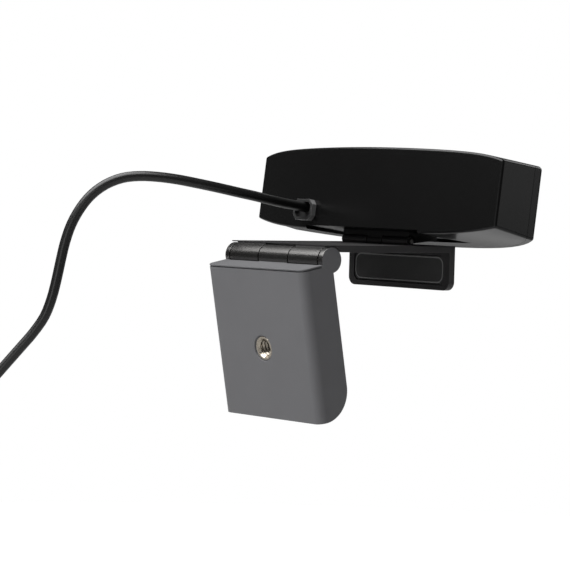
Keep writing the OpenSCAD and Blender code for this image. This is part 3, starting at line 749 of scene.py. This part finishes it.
def make_materials(tones):
    def tone(name):
        return tuple(getattr(tones, name)) + (1.0,)

    MATERIALS.update(
        housing=moulded(
            "housing_black", tone("housing"), 0.26, grain=2400.0, bump=0.08, variation=0.04,
            specular=0.3,
        ),
        bezel=moulded(
            "bezel_satin", tone("housing"), 0.32, grain=2800.0, bump=0.08, variation=0.04,
            specular=0.35,
        ),
        window=moulded(
            "window_gloss", grey(6, 6, 8), 0.06, grain=300.0, bump=0.01, drift=1.05,
            variation=0.02, coat=0.2,
        ),
        window_clear=clear_glass("window_clear", grey(40, 44, 52), 0.04, alpha=0.25),
        foot=moulded("foot_black", tone("foot"), 0.6, grain=2200.0, bump=0.15),
        clip=moulded("clip_satin", tone("clip"), 0.42, bump=0.1),
        leg=moulded("leg_satin", tone("leg"), 0.42, specular=0.25),
        rubber=moulded(
            "pad_rubber", tone("rubber"), 0.75, grain=1500.0, bump=0.3, drift=1.2, variation=0.12
        ),
        # Pale rubber for the bead, a painted highlight along the lip pad's edge
        bead=moulded("bead_rubber", grey(108), 0.5, grain=1800.0, bump=0.1),
        cord=moulded(
            "cord_jacket", tone("cord"), 0.33, grain=3000.0, bump=0.08, drift=1.1, variation=0.08
        ),
        gland=moulded("gland_rubber", tone("gland"), 0.5, grain=2500.0),
        barrel=metal(
            "barrel_satin", grey(108, 107, 106), 0.27, along=(60.0, 2500.0, 2500.0), bump=0.015,
            variation=0.04,
        ),
        steel=metal("plated_steel", grey(190, 188, 184), 0.3),
        dark_steel=metal("dark_steel", grey(130, 128, 126), 0.38),
        nickel=metal("insert_nickel", grey(176, 168, 155), 0.28, along=(2500.0, 60.0, 2500.0)),
        board=moulded("board_mask", grey(20, 88, 48), 0.3, grain=900.0, bump=0.1),
        chip=moulded("chip_package", grey(34, 34, 37), 0.55, grain=1800.0, bump=0.2),
        lens_black=moulded("lens_black", grey(22, 22, 24), 0.45, grain=1800.0, bump=0.1),
        lens_ring=metal("lens_ring_dark", grey(92, 92, 96), 0.3),
        lens=clear_glass("lens_coated", grey(70, 84, 120), 0.02, alpha=0.5),
        led=moulded("led_milky", grey(222, 226, 230), 0.35, grain=900.0, bump=0.05),
        nylon=moulded("connector_nylon", grey(220, 214, 196), 0.5, grain=1200.0, bump=0.1),
        tie=moulded("tie_strap", grey(26, 26, 27), 0.85, grain=1400.0, bump=0.6, drift=1.3),
        plug=moulded("plug_satin", grey(30, 30, 31), 0.45, grain=2200.0, bump=0.15),
    )


# --- Sizes and colours a user may change --------------------------------------------
def colour_property(name, description, value):
    return FloatVectorProperty(
        name=name, description=description, default=grey(*value)[:3], size=3, min=0.0, max=1.0,
        subtype="COLOR",
    )


class WebcamTones(bpy.types.PropertyGroup):
    """Base colours of the moulded parts."""

    housing: colour_property("Housing", "Colour of the camera's housing", (8, 8, 8))
    foot: colour_property("Foot", "Colour of the tilt foot", (14, 14, 14))
    clip: colour_property("Clip", "Colour of the clip plate", (32, 31, 32))
    leg: colour_property("Leg", "Colour of the folding leg", (104, 104, 106))
    rubber: colour_property("Pads", "Colour of the rubber pads", (40, 40, 40))
    cord: colour_property("Cord", "Colour of the cord", (18, 18, 18))
    gland: colour_property("Gland", "Colour of the cord's gland", (125, 125, 125))


class WebcamSizes(bpy.types.PropertyGroup):
    """Sizes of the dressing that the solids leave open."""

    clip_edge: FloatProperty(
        name="Clip Edge", description="Radius on the clip's edges, in millimetres", default=0.35,
        min=0.05, max=0.6,
    )
    leg_edge: FloatProperty(
        name="Leg Edge", description="Radius on the leg's edges, in millimetres", default=0.4,
        min=0.05, max=0.8,
    )
    body_spans: IntProperty(
        name="Body Spans", description="Sections along half of the camera body", default=60,
        min=20, max=120,
    )
    cord_sides: IntProperty(
        name="Cord Sides", description="Roundness of the cord", default=5, min=2, max=12
    )
    floor_drop: FloatProperty(
        name="Floor Drop", description="Height of the floor, from the clip's underside",
        default=-0.215, subtype="DISTANCE", unit="LENGTH",
    )


class StepOperator(bpy.types.Operator):
    """Shared base of the building steps."""

    bl_options = {"REGISTER"}

    def tones(self, context):
        return context.scene.webcam_tones

    def sizes(self, context):
        return context.scene.webcam_sizes


# --- Camera and stage ---------------------------------------------------------------
class WEBCAM_OT_camera(StepOperator):
    """Places the camera behind the webcam and to its right"""

    bl_idname = "webcam.camera"
    bl_label = "Place Camera"

    def execute(self, context):
        data = bpy.data.cameras.new("view")
        data.lens = VIEW_LENS
        data.sensor_width = 36.0
        data.clip_end = 20.0
        cam = bpy.data.objects.new("view", data)
        context.scene.collection.objects.link(cam)
        along = Vector(VIEW_ALONG).normalized()
        side = along.cross(Vector((0, 0, 1))).normalized()
        up = side.cross(along)
        right = math.cos(VIEW_ROLL) * side + math.sin(VIEW_ROLL) * up
        up = -math.sin(VIEW_ROLL) * side + math.cos(VIEW_ROLL) * up
        turn = Matrix((right, up, -along)).transposed().to_4x4()
        cam.matrix_world = Matrix.Translation(VIEW_FROM) @ turn
        context.scene.camera = cam
        return {"FINISHED"}


class WEBCAM_OT_stage(StepOperator):
    """Makes the pale floor, the sky and the soft lights"""

    bl_idname = "webcam.stage"
    bl_label = "Make Stage"

    def execute(self, context):
        drop = self.sizes(context).floor_drop
        verts = [(x, y, drop) for x, y in circle_outline(FLOOR_R, SIDES_FLOOR)]
        mesh = bpy.data.meshes.new("floor")
        mesh.from_pydata(verts, [], [tuple(range(len(verts)))])
        floor = link("floor", mesh)
        mesh.materials.append(self.paper())

        world = bpy.data.worlds.new("studio")
        world.use_nodes = True
        nodes, links = world.node_tree.nodes, world.node_tree.links
        sky = nodes["Background"]
        sky.inputs["Color"].default_value = (1.0, 1.0, 1.0, 1.0)
        seen = nodes.new("ShaderNodeLightPath")
        level = nodes.new("ShaderNodeMapRange")
        level.inputs["To Min"].default_value = SKY_LIGHT
        level.inputs["To Max"].default_value = 1.0
        links.new(seen.outputs["Is Camera Ray"], level.inputs["Value"])
        links.new(level.outputs["Result"], sky.inputs["Strength"])
        context.scene.world = world
        context.scene.view_settings.view_transform = "Standard"

        for lamp in LAMPS:
            self.soft_lamp(context, *lamp)
        return {"FINISHED"}

    def paper(self):
        """Pale paper that runs out into the bright surroundings, as the view sees it."""
        mat, nodes, links, shader = principled("floor_paper")
        shader.inputs["Base Color"].default_value = (0.5, 0.5, 0.5, 1.0)
        shader.inputs["Roughness"].default_value = 0.8
        shader.inputs["Specular IOR Level"].default_value = 0.1
        shader.inputs["Emission Strength"].default_value = 1.0
        coords = nodes.new("ShaderNodeTexCoord")
        reach = nodes.new("ShaderNodeVectorMath")
        reach.operation = "LENGTH"
        fade = nodes.new("ShaderNodeMapRange")
        fade.interpolation_type = "SMOOTHSTEP"
        fade.inputs["From Min"].default_value = PAPER_FADE[0]
        fade.inputs["From Max"].default_value = PAPER_FADE[1]
        fade.inputs["To Min"].default_value = PAPER_GLOW
        seen = nodes.new("ShaderNodeLightPath")
        both = nodes.new("ShaderNodeMath")
        both.operation = "MULTIPLY"
        links.new(coords.outputs["Object"], reach.inputs[0])
        links.new(reach.outputs["Value"], fade.inputs["Value"])
        links.new(fade.outputs["Result"], both.inputs[0])
        links.new(seen.outputs["Is Camera Ray"], both.inputs[1])
        links.new(both.outputs["Value"], shader.inputs["Emission Color"])
        return mat

    def soft_lamp(self, context, name, place, at, size, watts):
        data = bpy.data.lights.new(name, "AREA")
        data.size = size
        data.energy = watts
        lamp = bpy.data.objects.new(name, data)
        context.scene.collection.objects.link(lamp)
        aim = (Vector(at) - Vector(place)).to_track_quat("-Z", "Y").to_matrix().to_4x4()
        lamp.matrix_world = Matrix.Translation(place) @ aim


# --- Cord, hank, tie and plug -------------------------------------------------------
def hank_frame():
    """The hank's own frame: X across its width, Y through its thickness, Z up from its top."""
    drop = HANK_HALF - math.sqrt(HANK_HALF**2 - (HANK_HALF - CORD_D) ** 2)
    into = Matrix.Translation(
        (-(HANK_HALF - CORD_D / 2), -(HANK_LAYERS - 1) * CORD_D / 2, drop)
    )
    end = Matrix.Translation(CORD_ROUTE[-1])
    return end @ Matrix.Rotation(HANK_TURN, 4, "Z") @ into


def arc_points(cz, x_from, x_to, y_from, y_to, top, n=14):
    """Half a turn round one end of the hank, easing in depth and in radius."""
    pts = []
    for i in range(1, n):
        t = i / n
        ease = t * t * (3 - 2 * t)
        radius = abs(x_from) + (abs(x_to) - abs(x_from)) * ease
        a = math.pi * t
        x = math.copysign(1, x_from) * radius * math.cos(a)
        z = cz + (1 if top else -1) * radius * math.sin(a)
        pts.append((x, y_from + (y_to - y_from) * ease, z))
    return pts


def hank_points():
    """The wound cord in the hank's frame, from its first run to the plug's relief."""
    outer, inner = HANK_HALF - CORD_D / 2, HANK_BEND
    high, low = -HANK_HALF, -HANK_HALF - HANK_RUN
    depths = [CORD_D * (1.5 - i) for i in range(HANK_LAYERS)]
    turns = [(outer, outer, a, b) for a, b in zip(depths, depths[1:])]
    turns.append((outer, inner, depths[-1], depths[-2]))
    back = depths[::-1][1:]
    turns += [(inner, inner, a, b) for a, b in zip(back, back[1:])]
    pts = []

    def run(x, y, z_from, z_to):
        for i in range(RUN_STEPS + 1):
            pts.append((x, y, z_from + (z_to - z_from) * i / RUN_STEPS))

    for r_down, r_up, y, y_next in turns:
        run(r_down, y, high, low)
        pts.extend(arc_points(low, r_down, -r_up, y, y, False))
        run(-r_up, y, low, high)
        pts.extend(arc_points(high, -r_up, r_up, y, y_next, True))
    y = depths[0]
    run(inner, y, high, low)
    pts.extend(arc_points(low, inner, -inner, y, y, False))
    run(-inner, y, low, high)
    pts.extend(arc_points(high, -inner, inner, y, PLUG_Y + TAIL_BEND_Y, True))
    pts.extend((PLUG_X + x, PLUG_Y + y, high + z) for x, y, z in TAIL_ROUTE)
    pts.extend((PLUG_X, PLUG_Y, z) for z in (-HANK_H / 2, PLUG_Z))
    return pts


def cord_points():
    """The whole cord's centre line in the row's frame, in millimetres."""
    y = rear_y(GLAND_X)
    start = [IN_BODY @ Vector((GLAND_X, y + out, -GLAND_DROP)) for out in CORD_EXIT]
    route = [Vector(p) for p in CORD_ROUTE]
    wound = [hank_frame() @ Vector(p) for p in hank_points()]
    return start + route + wound


def smooth_path(points, step):
    """A centripetal spline through the points, sampled about every step."""
    pts = [points[0] * 2 - points[1]] + list(points) + [points[-1] * 2 - points[-2]]
    out = []
    for i in range(1, len(pts) - 2):
        p0, p1, p2, p3 = pts[i - 1 : i + 3]
        t0 = 0.0
        t1 = t0 + math.sqrt((p1 - p0).length)
        t2 = t1 + math.sqrt((p2 - p1).length)
        t3 = t2 + math.sqrt((p3 - p2).length)
        n = max(1, round((p2 - p1).length / step))
        for k in range(n):
            t = t1 + (t2 - t1) * k / n
            a1 = p0 * ((t1 - t) / (t1 - t0)) + p1 * ((t - t0) / (t1 - t0))
            a2 = p1 * ((t2 - t) / (t2 - t1)) + p2 * ((t - t1) / (t2 - t1))
            a3 = p2 * ((t3 - t) / (t3 - t2)) + p3 * ((t - t2) / (t3 - t2))
            b1 = a1 * ((t2 - t) / (t2 - t0)) + a2 * ((t - t0) / (t2 - t0))
            b2 = a2 * ((t3 - t) / (t3 - t1)) + a3 * ((t - t1) / (t3 - t1))
            out.append(b1 * ((t2 - t) / (t2 - t1)) + b2 * ((t - t1) / (t2 - t1)))
    out.append(points[-1])
    return out


class WEBCAM_OT_cord(StepOperator):
    """Makes the cord from the gland to the plug, with its wound hank, tie and plug"""

    bl_idname = "webcam.cord"
    bl_label = "Make Cord"

    def execute(self, context):
        path = smooth_path(cord_points(), CORD_STEP)
        data = bpy.data.curves.new("usb_lead", "CURVE")
        data.dimensions = "3D"
        data.bevel_depth = CORD_D / 2 * MM
        data.bevel_resolution = self.sizes(context).cord_sides
        data.use_fill_caps = True
        spline = data.splines.new("POLY")
        spline.points.add(len(path) - 1)
        for point, place in zip(spline.points, path):
            point.co = (*(place * MM), 1.0)
        lead = bpy.data.objects.new("usb_lead", data)
        context.scene.collection.objects.link(lead)
        data.materials.append(MATERIALS["cord"])
        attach(lead, "camera")
        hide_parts("usb_cord", "cord_hank")

        tie = self.tie()
        plug = eased_copy("plug_body", "usb_plug", PLUG_EDGE, COLLAR_ANGLE, COLLAR_SEGMENTS)
        finish_piece(plug, "plug")
        shell = self.plug_shell()
        return {"FINISHED"}

    def tie(self):
        """A strap drawn round the hank and the plug's tail."""
        half_t = HANK_T / 2 + TIE_GAP
        half_w = HANK_HALF + TIE_GAP
        tail = CORD_D / 2 + TIE_GAP
        outline = []
        for cx, cy, r, start, end in (
            (half_w - TIE_R, -half_t + TIE_R, TIE_R, -90, 0),
            (half_w - TIE_R, half_t - TIE_R, TIE_R, 0, 52),
            (PLUG_X, PLUG_Y, tail, 60, 120),
            (-half_w + TIE_R, half_t - TIE_R, TIE_R, 112, 180),
            (-half_w + TIE_R, -half_t + TIE_R, TIE_R, 180, 270),
        ):
            for i in range(TIE_STEPS + 1):
                a = math.radians(start + (end - start) * i / TIE_STEPS)
                outline.append((cx + r * math.cos(a), cy + r * math.sin(a)))
        high, eased = TIE_H / 2, TIE_H / 2 - TIE_CHAMFER
        shoulder = TIE_T - TIE_CHAMFER
        profile = [
            (0.0, -high), (0.0, high), (shoulder, high), (TIE_T, eased), (TIE_T, -eased),
            (shoulder, -high),
        ]
        rings = []
        for i, p in enumerate(outline):
            before, after = Vector(outline[i - 1]), Vector(outline[(i + 1) % len(outline)])
            along = (after - before).normalized()
            out = Vector((along.y, -along.x))
            rings.append(
                [(p[0] + out.x * d, p[1] + out.y * d, -HANK_H / 2 + z) for d, z in profile]
            )
        obj = to_row(closed_strip("hank_tie", rings, hank_frame()))
        shade(obj, BODY_ANGLE)
        finish_piece(obj, "tie", "camera")
        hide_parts("cord_tie")
        return obj

    def plug_shell(self):
        """The plug's folded steel sleeve with its two windows and the tongue inside."""
        low = PLUG_Z - RELIEF_L - PLUG_L - SLEEVE_L
        at = hank_frame() @ Matrix.Translation((PLUG_X, PLUG_Y, low))
        outer = prism("usb_sleeve", rect_outline(SLEEVE_W, SLEEVE_T, SLEEVE_R), 0, SLEEVE_L)
        inner_w, inner_t = SLEEVE_W - 2 * SLEEVE_WALL, SLEEVE_T - 2 * SLEEVE_WALL
        hollow = rect_outline(inner_w, inner_t, SLEEVE_INNER_R)
        carve(outer, prism("cut", hollow, -CUT_PAST, SLEEVE_L - SLEEVE_FLOOR))
        for side in (-1, 1):
            window = rect_outline(
                *SLEEVE_WINDOW, SLEEVE_WINDOW_R, SMALL_CORNER, side * SLEEVE_WINDOW_X,
                SLEEVE_WINDOW_Z,
            )
            carve(outer, prism("cut", window, -SLEEVE_T, SLEEVE_T, "Y"))
        to_row(outer, at)
        ease_edges(outer, SLEEVE_EDGE, 1)
        finish_piece(outer, "steel", "camera")
        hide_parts("plug_shell")
        bar = rect_outline(TONGUE_W, TONGUE_T, TONGUE_R, SMALL_CORNER, cy=TONGUE_Y)
        tongue = prism("usb_tongue", bar, *TONGUE_SPAN)
        to_row(tongue, at)
        ease_edges(tongue, TONGUE_EDGE, 1)
        finish_piece(tongue, "chip", "camera")
        return outer


# --- Camera body --------------------------------------------------------------------
class WEBCAM_OT_housing(StepOperator):
    """Makes the rear housing with the recess over the clip"""

    bl_idname = "webcam.housing"
    bl_label = "Make Housing"

    def execute(self, context):
        obj = body_form("camera_housing", self.sizes(context).body_spans)
        carve(obj, front_cylinder(BEZEL_T + FIT), "INTERSECT")
        side, low = TROUGH_W / 2, TROUGH_Z - END_H
        trough = [(-side, low), (side, low), (side, TROUGH_Z), (-side, TROUGH_Z)]
        carve(obj, prism("cut", trough, -TROUGH_FRONT, END_DEPTH, "Y"))
        hole = circle_outline(GLAND_HOLE_R, SIDES_HOLE, GLAND_X, -GLAND_DROP)
        carve(obj, prism("cut", hole, *GLAND_CUT, "Y"))
        to_row(obj, IN_BODY)
        ease_edges(obj, HOUSING_EDGE, angle=BODY_ANGLE)
        finish_piece(obj, "housing", "camera")
        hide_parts("rear_housing")
        return {"FINISHED"}


class WEBCAM_OT_front(StepOperator):
    """Makes the curved bezel, its window, and the discs over the lens and the light"""

    bl_idname = "webcam.front"
    bl_label = "Make Front"

    def execute(self, context):
        bezel = body_form("front_frame", self.sizes(context).body_spans)
        carve(bezel, front_cylinder(BEZEL_T))
        seat = prism("seat", slot_outline(WINDOW_W, WINDOW_H), *FRONT_CUT, "Y")
        carve(seat, front_cylinder(WINDOW_T + FIT))
        carve(bezel, seat)
        opening = rect_outline(
            WINDOW_W - 2 * (WINDOW_LIP + OPENING_INSET), WINDOW_H - 2 * WINDOW_LIP, OPENING_R
        )
        carve(bezel, prism("cut", opening, *FRONT_CUT, "Y"))
        for side in (-1, 1):
            hole = circle_outline(MIC_R, SIDES_TINY, side * MIC_X, MIC_Z)
            carve(bezel, prism("cut", hole, *MIC_CUT, "Y"))
        to_row(bezel, IN_BODY)
        ease_edges(bezel, BEZEL_EDGE, angle=BODY_ANGLE)
        finish_piece(bezel, "bezel", "camera")
        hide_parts("front_bezel")

        outline = slot_outline(WINDOW_W - 2 * FIT, WINDOW_H - 2 * FIT)
        pane = self.pane("window_pane", outline, PANE_BACK)
        holes = (circle_outline(LENS_HOLE_R), circle_outline(LED_HOLE_R, SIDES_HOLE, LED_X))
        for hole in holes:
            carve(pane, prism("cut", hole, *FRONT_CUT, "Y"))
        to_row(pane, IN_BODY)
        ease_edges(pane, PANE_EDGE, angle=BODY_ANGLE)
        finish_piece(pane, "window", "camera")
        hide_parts("front_window")

        lens = circle_outline(LENS_HOLE_R - DISC_GAP)
        light = circle_outline(LED_HOLE_R - DISC_GAP, SIDES_HOLE, LED_X)
        for name, outline, finish, slot in (
            ("lens_window", lens, "window_clear", "lens_glass"),
            ("led_window", light, "led", "led_lens"),
        ):
            disc = self.pane(name, outline, DISC_BACK)
            shade(to_row(disc, IN_BODY))
            finish_piece(disc, finish, "camera")
        return {"FINISHED"}

    def pane(self, name, outline, back):
        """A piece of the window, whose bowed face lies behind the bezel's by a small step."""
        obj = prism(name, outline, *FRONT_CUT, "Y")
        carve(obj, front_cylinder(back), "INTERSECT")
        return carve(obj, front_cylinder(WINDOW_T))


class WEBCAM_OT_details(StepOperator):
    """Dresses the gland, the tilt foot, the lens and the electronics"""

    bl_idname = "webcam.details"
    bl_label = "Dress Details"

    def execute(self, context):
        gland = eased_copy(
            "cord_gland", "gland_collar", GLAND_EDGE, COLLAR_ANGLE, COLLAR_SEGMENTS
        )
        finish_piece(gland, "gland")
        # Painted shade: the gland's hollow takes the foot's dark finish
        self.paint_hollow_shade(gland)
        foot = eased_copy("tilt_foot", "tilt_wedge", FOOT_EDGE)
        finish_piece(foot, "foot")
        for node, finish, slot in (
            ("main_board", "board", "board_green"), ("image_sensor", "chip", "chip_black"),
            ("lens_holder", "lens_black", "lens_black"),
            ("lens_barrel", "lens_black", "lens_black"), ("lens_glass", "lens", "lens_glass"),
            ("lens_ring", "lens_ring", "lens_ring"), ("processor_chip", "chip", "chip_black"),
            ("microphones", "steel", "steel_light"), ("status_led", "led", "led_lens"),
            ("light_pipe", "led", "led_lens"), ("cord_connector", "nylon", "connector_white"),
            ("inner_lead", "cord", "cord_rubber"), ("crimp_sleeve", "steel", "steel_light"),
            ("bezel_screws", "steel", "steel_light"), ("board_screws", "steel", "steel_light"),
            ("foot_screws", "steel", "steel_light"), ("tilt_pin", "dark_steel", "steel_dark"),
            ("friction_washers", "dark_steel", "steel_dark"),
            ("leg_screws", "steel", "steel_light"), ("hinge_pin", "steel", "steel_light"),
        ):
            finish_piece(NODES[node], finish)
        return {"FINISHED"}

    def paint_hollow_shade(self, obj):
        """The hollow inside the collar's rim takes the foot's dark finish, as painted shade."""
        # The foot's dark finish paints the shade in the hollow
        obj.data.materials.append(MATERIALS["foot"])
        low, high = extent([v.co for v in obj.data.vertices])
        rim = SHADE_FROM_RIM * MM
        for face in obj.data.polygons:
            spot = face.center
            inside = all(low[k] + rim < spot[k] < high[k] - rim for k in (0, 2))
            if inside and spot[1] < high[1] - SHADE_FROM_BACK * MM:
                face.material_index = 1


# --- Clip and leg -------------------------------------------------------------------
def finish_knuckles(obj):
    """Gives the hinge knuckles of a piece the barrel's finish."""
    obj.data.materials.append(MATERIALS["barrel"])
    reach = (BARREL_R + KNUCKLE_SLACK) * MM
    for face in obj.data.polygons:
        away = math.hypot(face.center.y - HINGE[1] * MM, face.center.z - HINGE[2] * MM)
        if away < reach:
            face.material_index = 1


class WEBCAM_OT_clip(StepOperator):
    """Dresses the clip plate, its lip and its pads"""

    bl_idname = "webcam.clip"
    bl_label = "Dress Clip"

    def execute(self, context):
        edge = self.sizes(context).clip_edge
        plate = eased_copy("clip_plate", "clip_frame", edge)
        finish_piece(plate, "clip")
        finish_knuckles(plate)
        for node, name, width in (
            ("lip_pad", "lip_rubber", 0.35), ("plate_pad", "plate_rubber", 0.15),
        ):
            pad = eased_copy(node, name, width)
            finish_piece(pad, "rubber")
        # The bead's pale finish paints the highlight along the lip pad's edge
        finish_piece(self.bead(), "bead", "clip")
        return {"FINISHED"}

    def bead(self):
        """The raised line round the lip's pad, whose pale finish paints the highlight along the
        pad's edge.
        """
        low, high = extent([v.co / MM for v in NODES["lip_pad"].data.vertices])
        wide, tall = (high[k] - low[k] - 2 * BEAD_INSET for k in (0, 2))
        face = high[1]
        outline = rect_outline(wide, tall, BEAD_CORNER)
        rim = prism("lip_bead", outline, face - BEAD_OUT, face + BEAD_OUT, "Y")
        hollow = rect_outline(wide - 2 * BEAD_W, tall - 2 * BEAD_W, BEAD_CORNER - BEAD_W)
        carve(rim, prism("cut", hollow, face - CUT_PAST, face + CUT_PAST, "Y"))
        middle = ((low[0] + high[0]) / 2, 0, (low[2] + high[2]) / 2)
        to_row(rim, Matrix.Translation(middle))
        return ease_edges(rim, BEAD_EDGE)


class WEBCAM_OT_leg(StepOperator):
    """Dresses the folding leg, its cover, pad and cap, and cuts the tripod insert's thread"""

    bl_idname = "webcam.leg"
    bl_label = "Dress Leg"

    def execute(self, context):
        edge = self.sizes(context).leg_edge
        shell = eased_copy("leg_shell", "leg_frame", edge)
        finish_piece(shell, "leg")
        self.cut_seam(shell)
        finish_knuckles(shell)
        for node, name, width, finish, slot in (
            ("leg_cover", "leg_lid", 0.2, "leg", "leg_plastic"),
            ("leg_pad", "leg_rubber", 0.2, "rubber", "rubber_black"),
            ("hinge_cap", "hinge_button", 0.15, "barrel", "leg_plastic"),
        ):
            piece = eased_copy(node, name, width)
            finish_piece(piece, finish)
        insert = self.insert()
        finish_piece(insert, "nickel", "leg")
        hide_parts("tripod_insert")
        return {"FINISHED"}

    def cut_seam(self, obj):
        """A fine groove under the leg's top edge, at the back and round both corners."""
        half = max(v.co.x for v in NODES["leg_shell"].data.vertices) / MM
        wide, deep = half - SEAM_DEPTH, LEG_REAR - SEAM_DEPTH
        core = rect_outline(2 * wide, 2 * deep, LEG_CORNER_R - SEAM_DEPTH)
        middle = BARREL_R + SEAM_FROM_BARREL + LEG_REAR / 2
        around = rect_outline(2 * (half + CUT_PAST), LEG_REAR, CUT_PAST / 2, cy=middle)
        high = SEAM_LOW + SEAM_W
        groove = prism("cut", around, SEAM_LOW, high)
        carve(groove, prism("core", core, SEAM_LOW - CUT_PAST, high + CUT_PAST))
        to_row(groove, IN_LEG)
        carve(obj, groove)
        shade(obj)

    def insert(self):
        """A turned insert whose bore carries the helix of the tripod thread."""
        front = LEG_REAR - INSERT_SUNK
        mouth = front - MOUTH_DEPTH
        rows = [
            (INSERT_BACK, INSERT_R), (front - INSERT_CHAMFER, INSERT_R),
            (front, INSERT_R - INSERT_CHAMFER), (front, THREAD_R + MOUTH_DEPTH),
            (mouth, THREAD_R),
        ]
        count = round((mouth - INSERT_BACK) / THREAD_PITCH * THREAD_STEPS)
        depths = [mouth - (mouth - INSERT_BACK) * i / count for i in range(1, count)]
        rows += [(y, None) for y in depths] + [(INSERT_BACK, THREAD_R)]
        rings = []
        for i in range(SIDES_LENS):
            share = i / SIDES_LENS
            a = 2 * math.pi * share
            ring = []
            for y, r in rows:
                if r is None:
                    wave = abs(2 * (((mouth - y) / THREAD_PITCH + share) % 1) - 1)
                    to_end = min(mouth - y, y - INSERT_BACK) / THREAD_RUNOUT
                    depth = (THREAD_ROOT - THREAD_R) * min(1, to_end)
                    r = THREAD_R + depth * min(1, THREAD_FLAT * wave)
                ring.append((r * math.cos(a), y, r * math.sin(a) - INSERT_DROP))
            rings.append(ring)
        return shade(to_row(closed_strip("thread_insert", rings, IN_LEG)), THREAD_ANGLE)


class WEBCAM_OT_finishes(StepOperator):
    """Makes the finishes that the pieces use"""

    bl_idname = "webcam.finishes"
    bl_label = "Make Finishes"

    def execute(self, context):
        make_materials(self.tones(context))
        return {"FINISHED"}


STEPS = (
    WEBCAM_OT_camera, WEBCAM_OT_finishes, WEBCAM_OT_cord, WEBCAM_OT_housing, WEBCAM_OT_front,
    WEBCAM_OT_details, WEBCAM_OT_clip, WEBCAM_OT_leg, WEBCAM_OT_stage,
)


class WEBCAM_PT_build(bpy.types.Panel):
    """Lists the building steps and what they take."""

    bl_idname = "WEBCAM_PT_build"
    bl_label = "Webcam"
    bl_space_type = "VIEW_3D"
    bl_region_type = "UI"
    bl_category = "Webcam"

    def draw(self, context):
        layout = self.layout
        for step in STEPS:
            layout.operator(step.bl_idname)
        for group in (context.scene.webcam_tones, context.scene.webcam_sizes):
            for name in group.bl_rna.properties.keys():
                if name not in ("rna_type", "name"):
                    layout.prop(group, name)


CLASSES = (WebcamTones, WebcamSizes) + STEPS + (WEBCAM_PT_build,)


def register():
    for cls in CLASSES:
        bpy.utils.register_class(cls)
    bpy.types.Scene.webcam_tones = PointerProperty(type=WebcamTones)
    bpy.types.Scene.webcam_sizes = PointerProperty(type=WebcamSizes)


def unregister():
    del bpy.types.Scene.webcam_sizes
    del bpy.types.Scene.webcam_tones
    for cls in reversed(CLASSES):
        bpy.utils.unregister_class(cls)


def main():
    register()
    for step in STEPS:
        family, name = step.bl_idname.split(".")
        getattr(getattr(bpy.ops, family), name)()


if __name__ == "__main__":
    main()
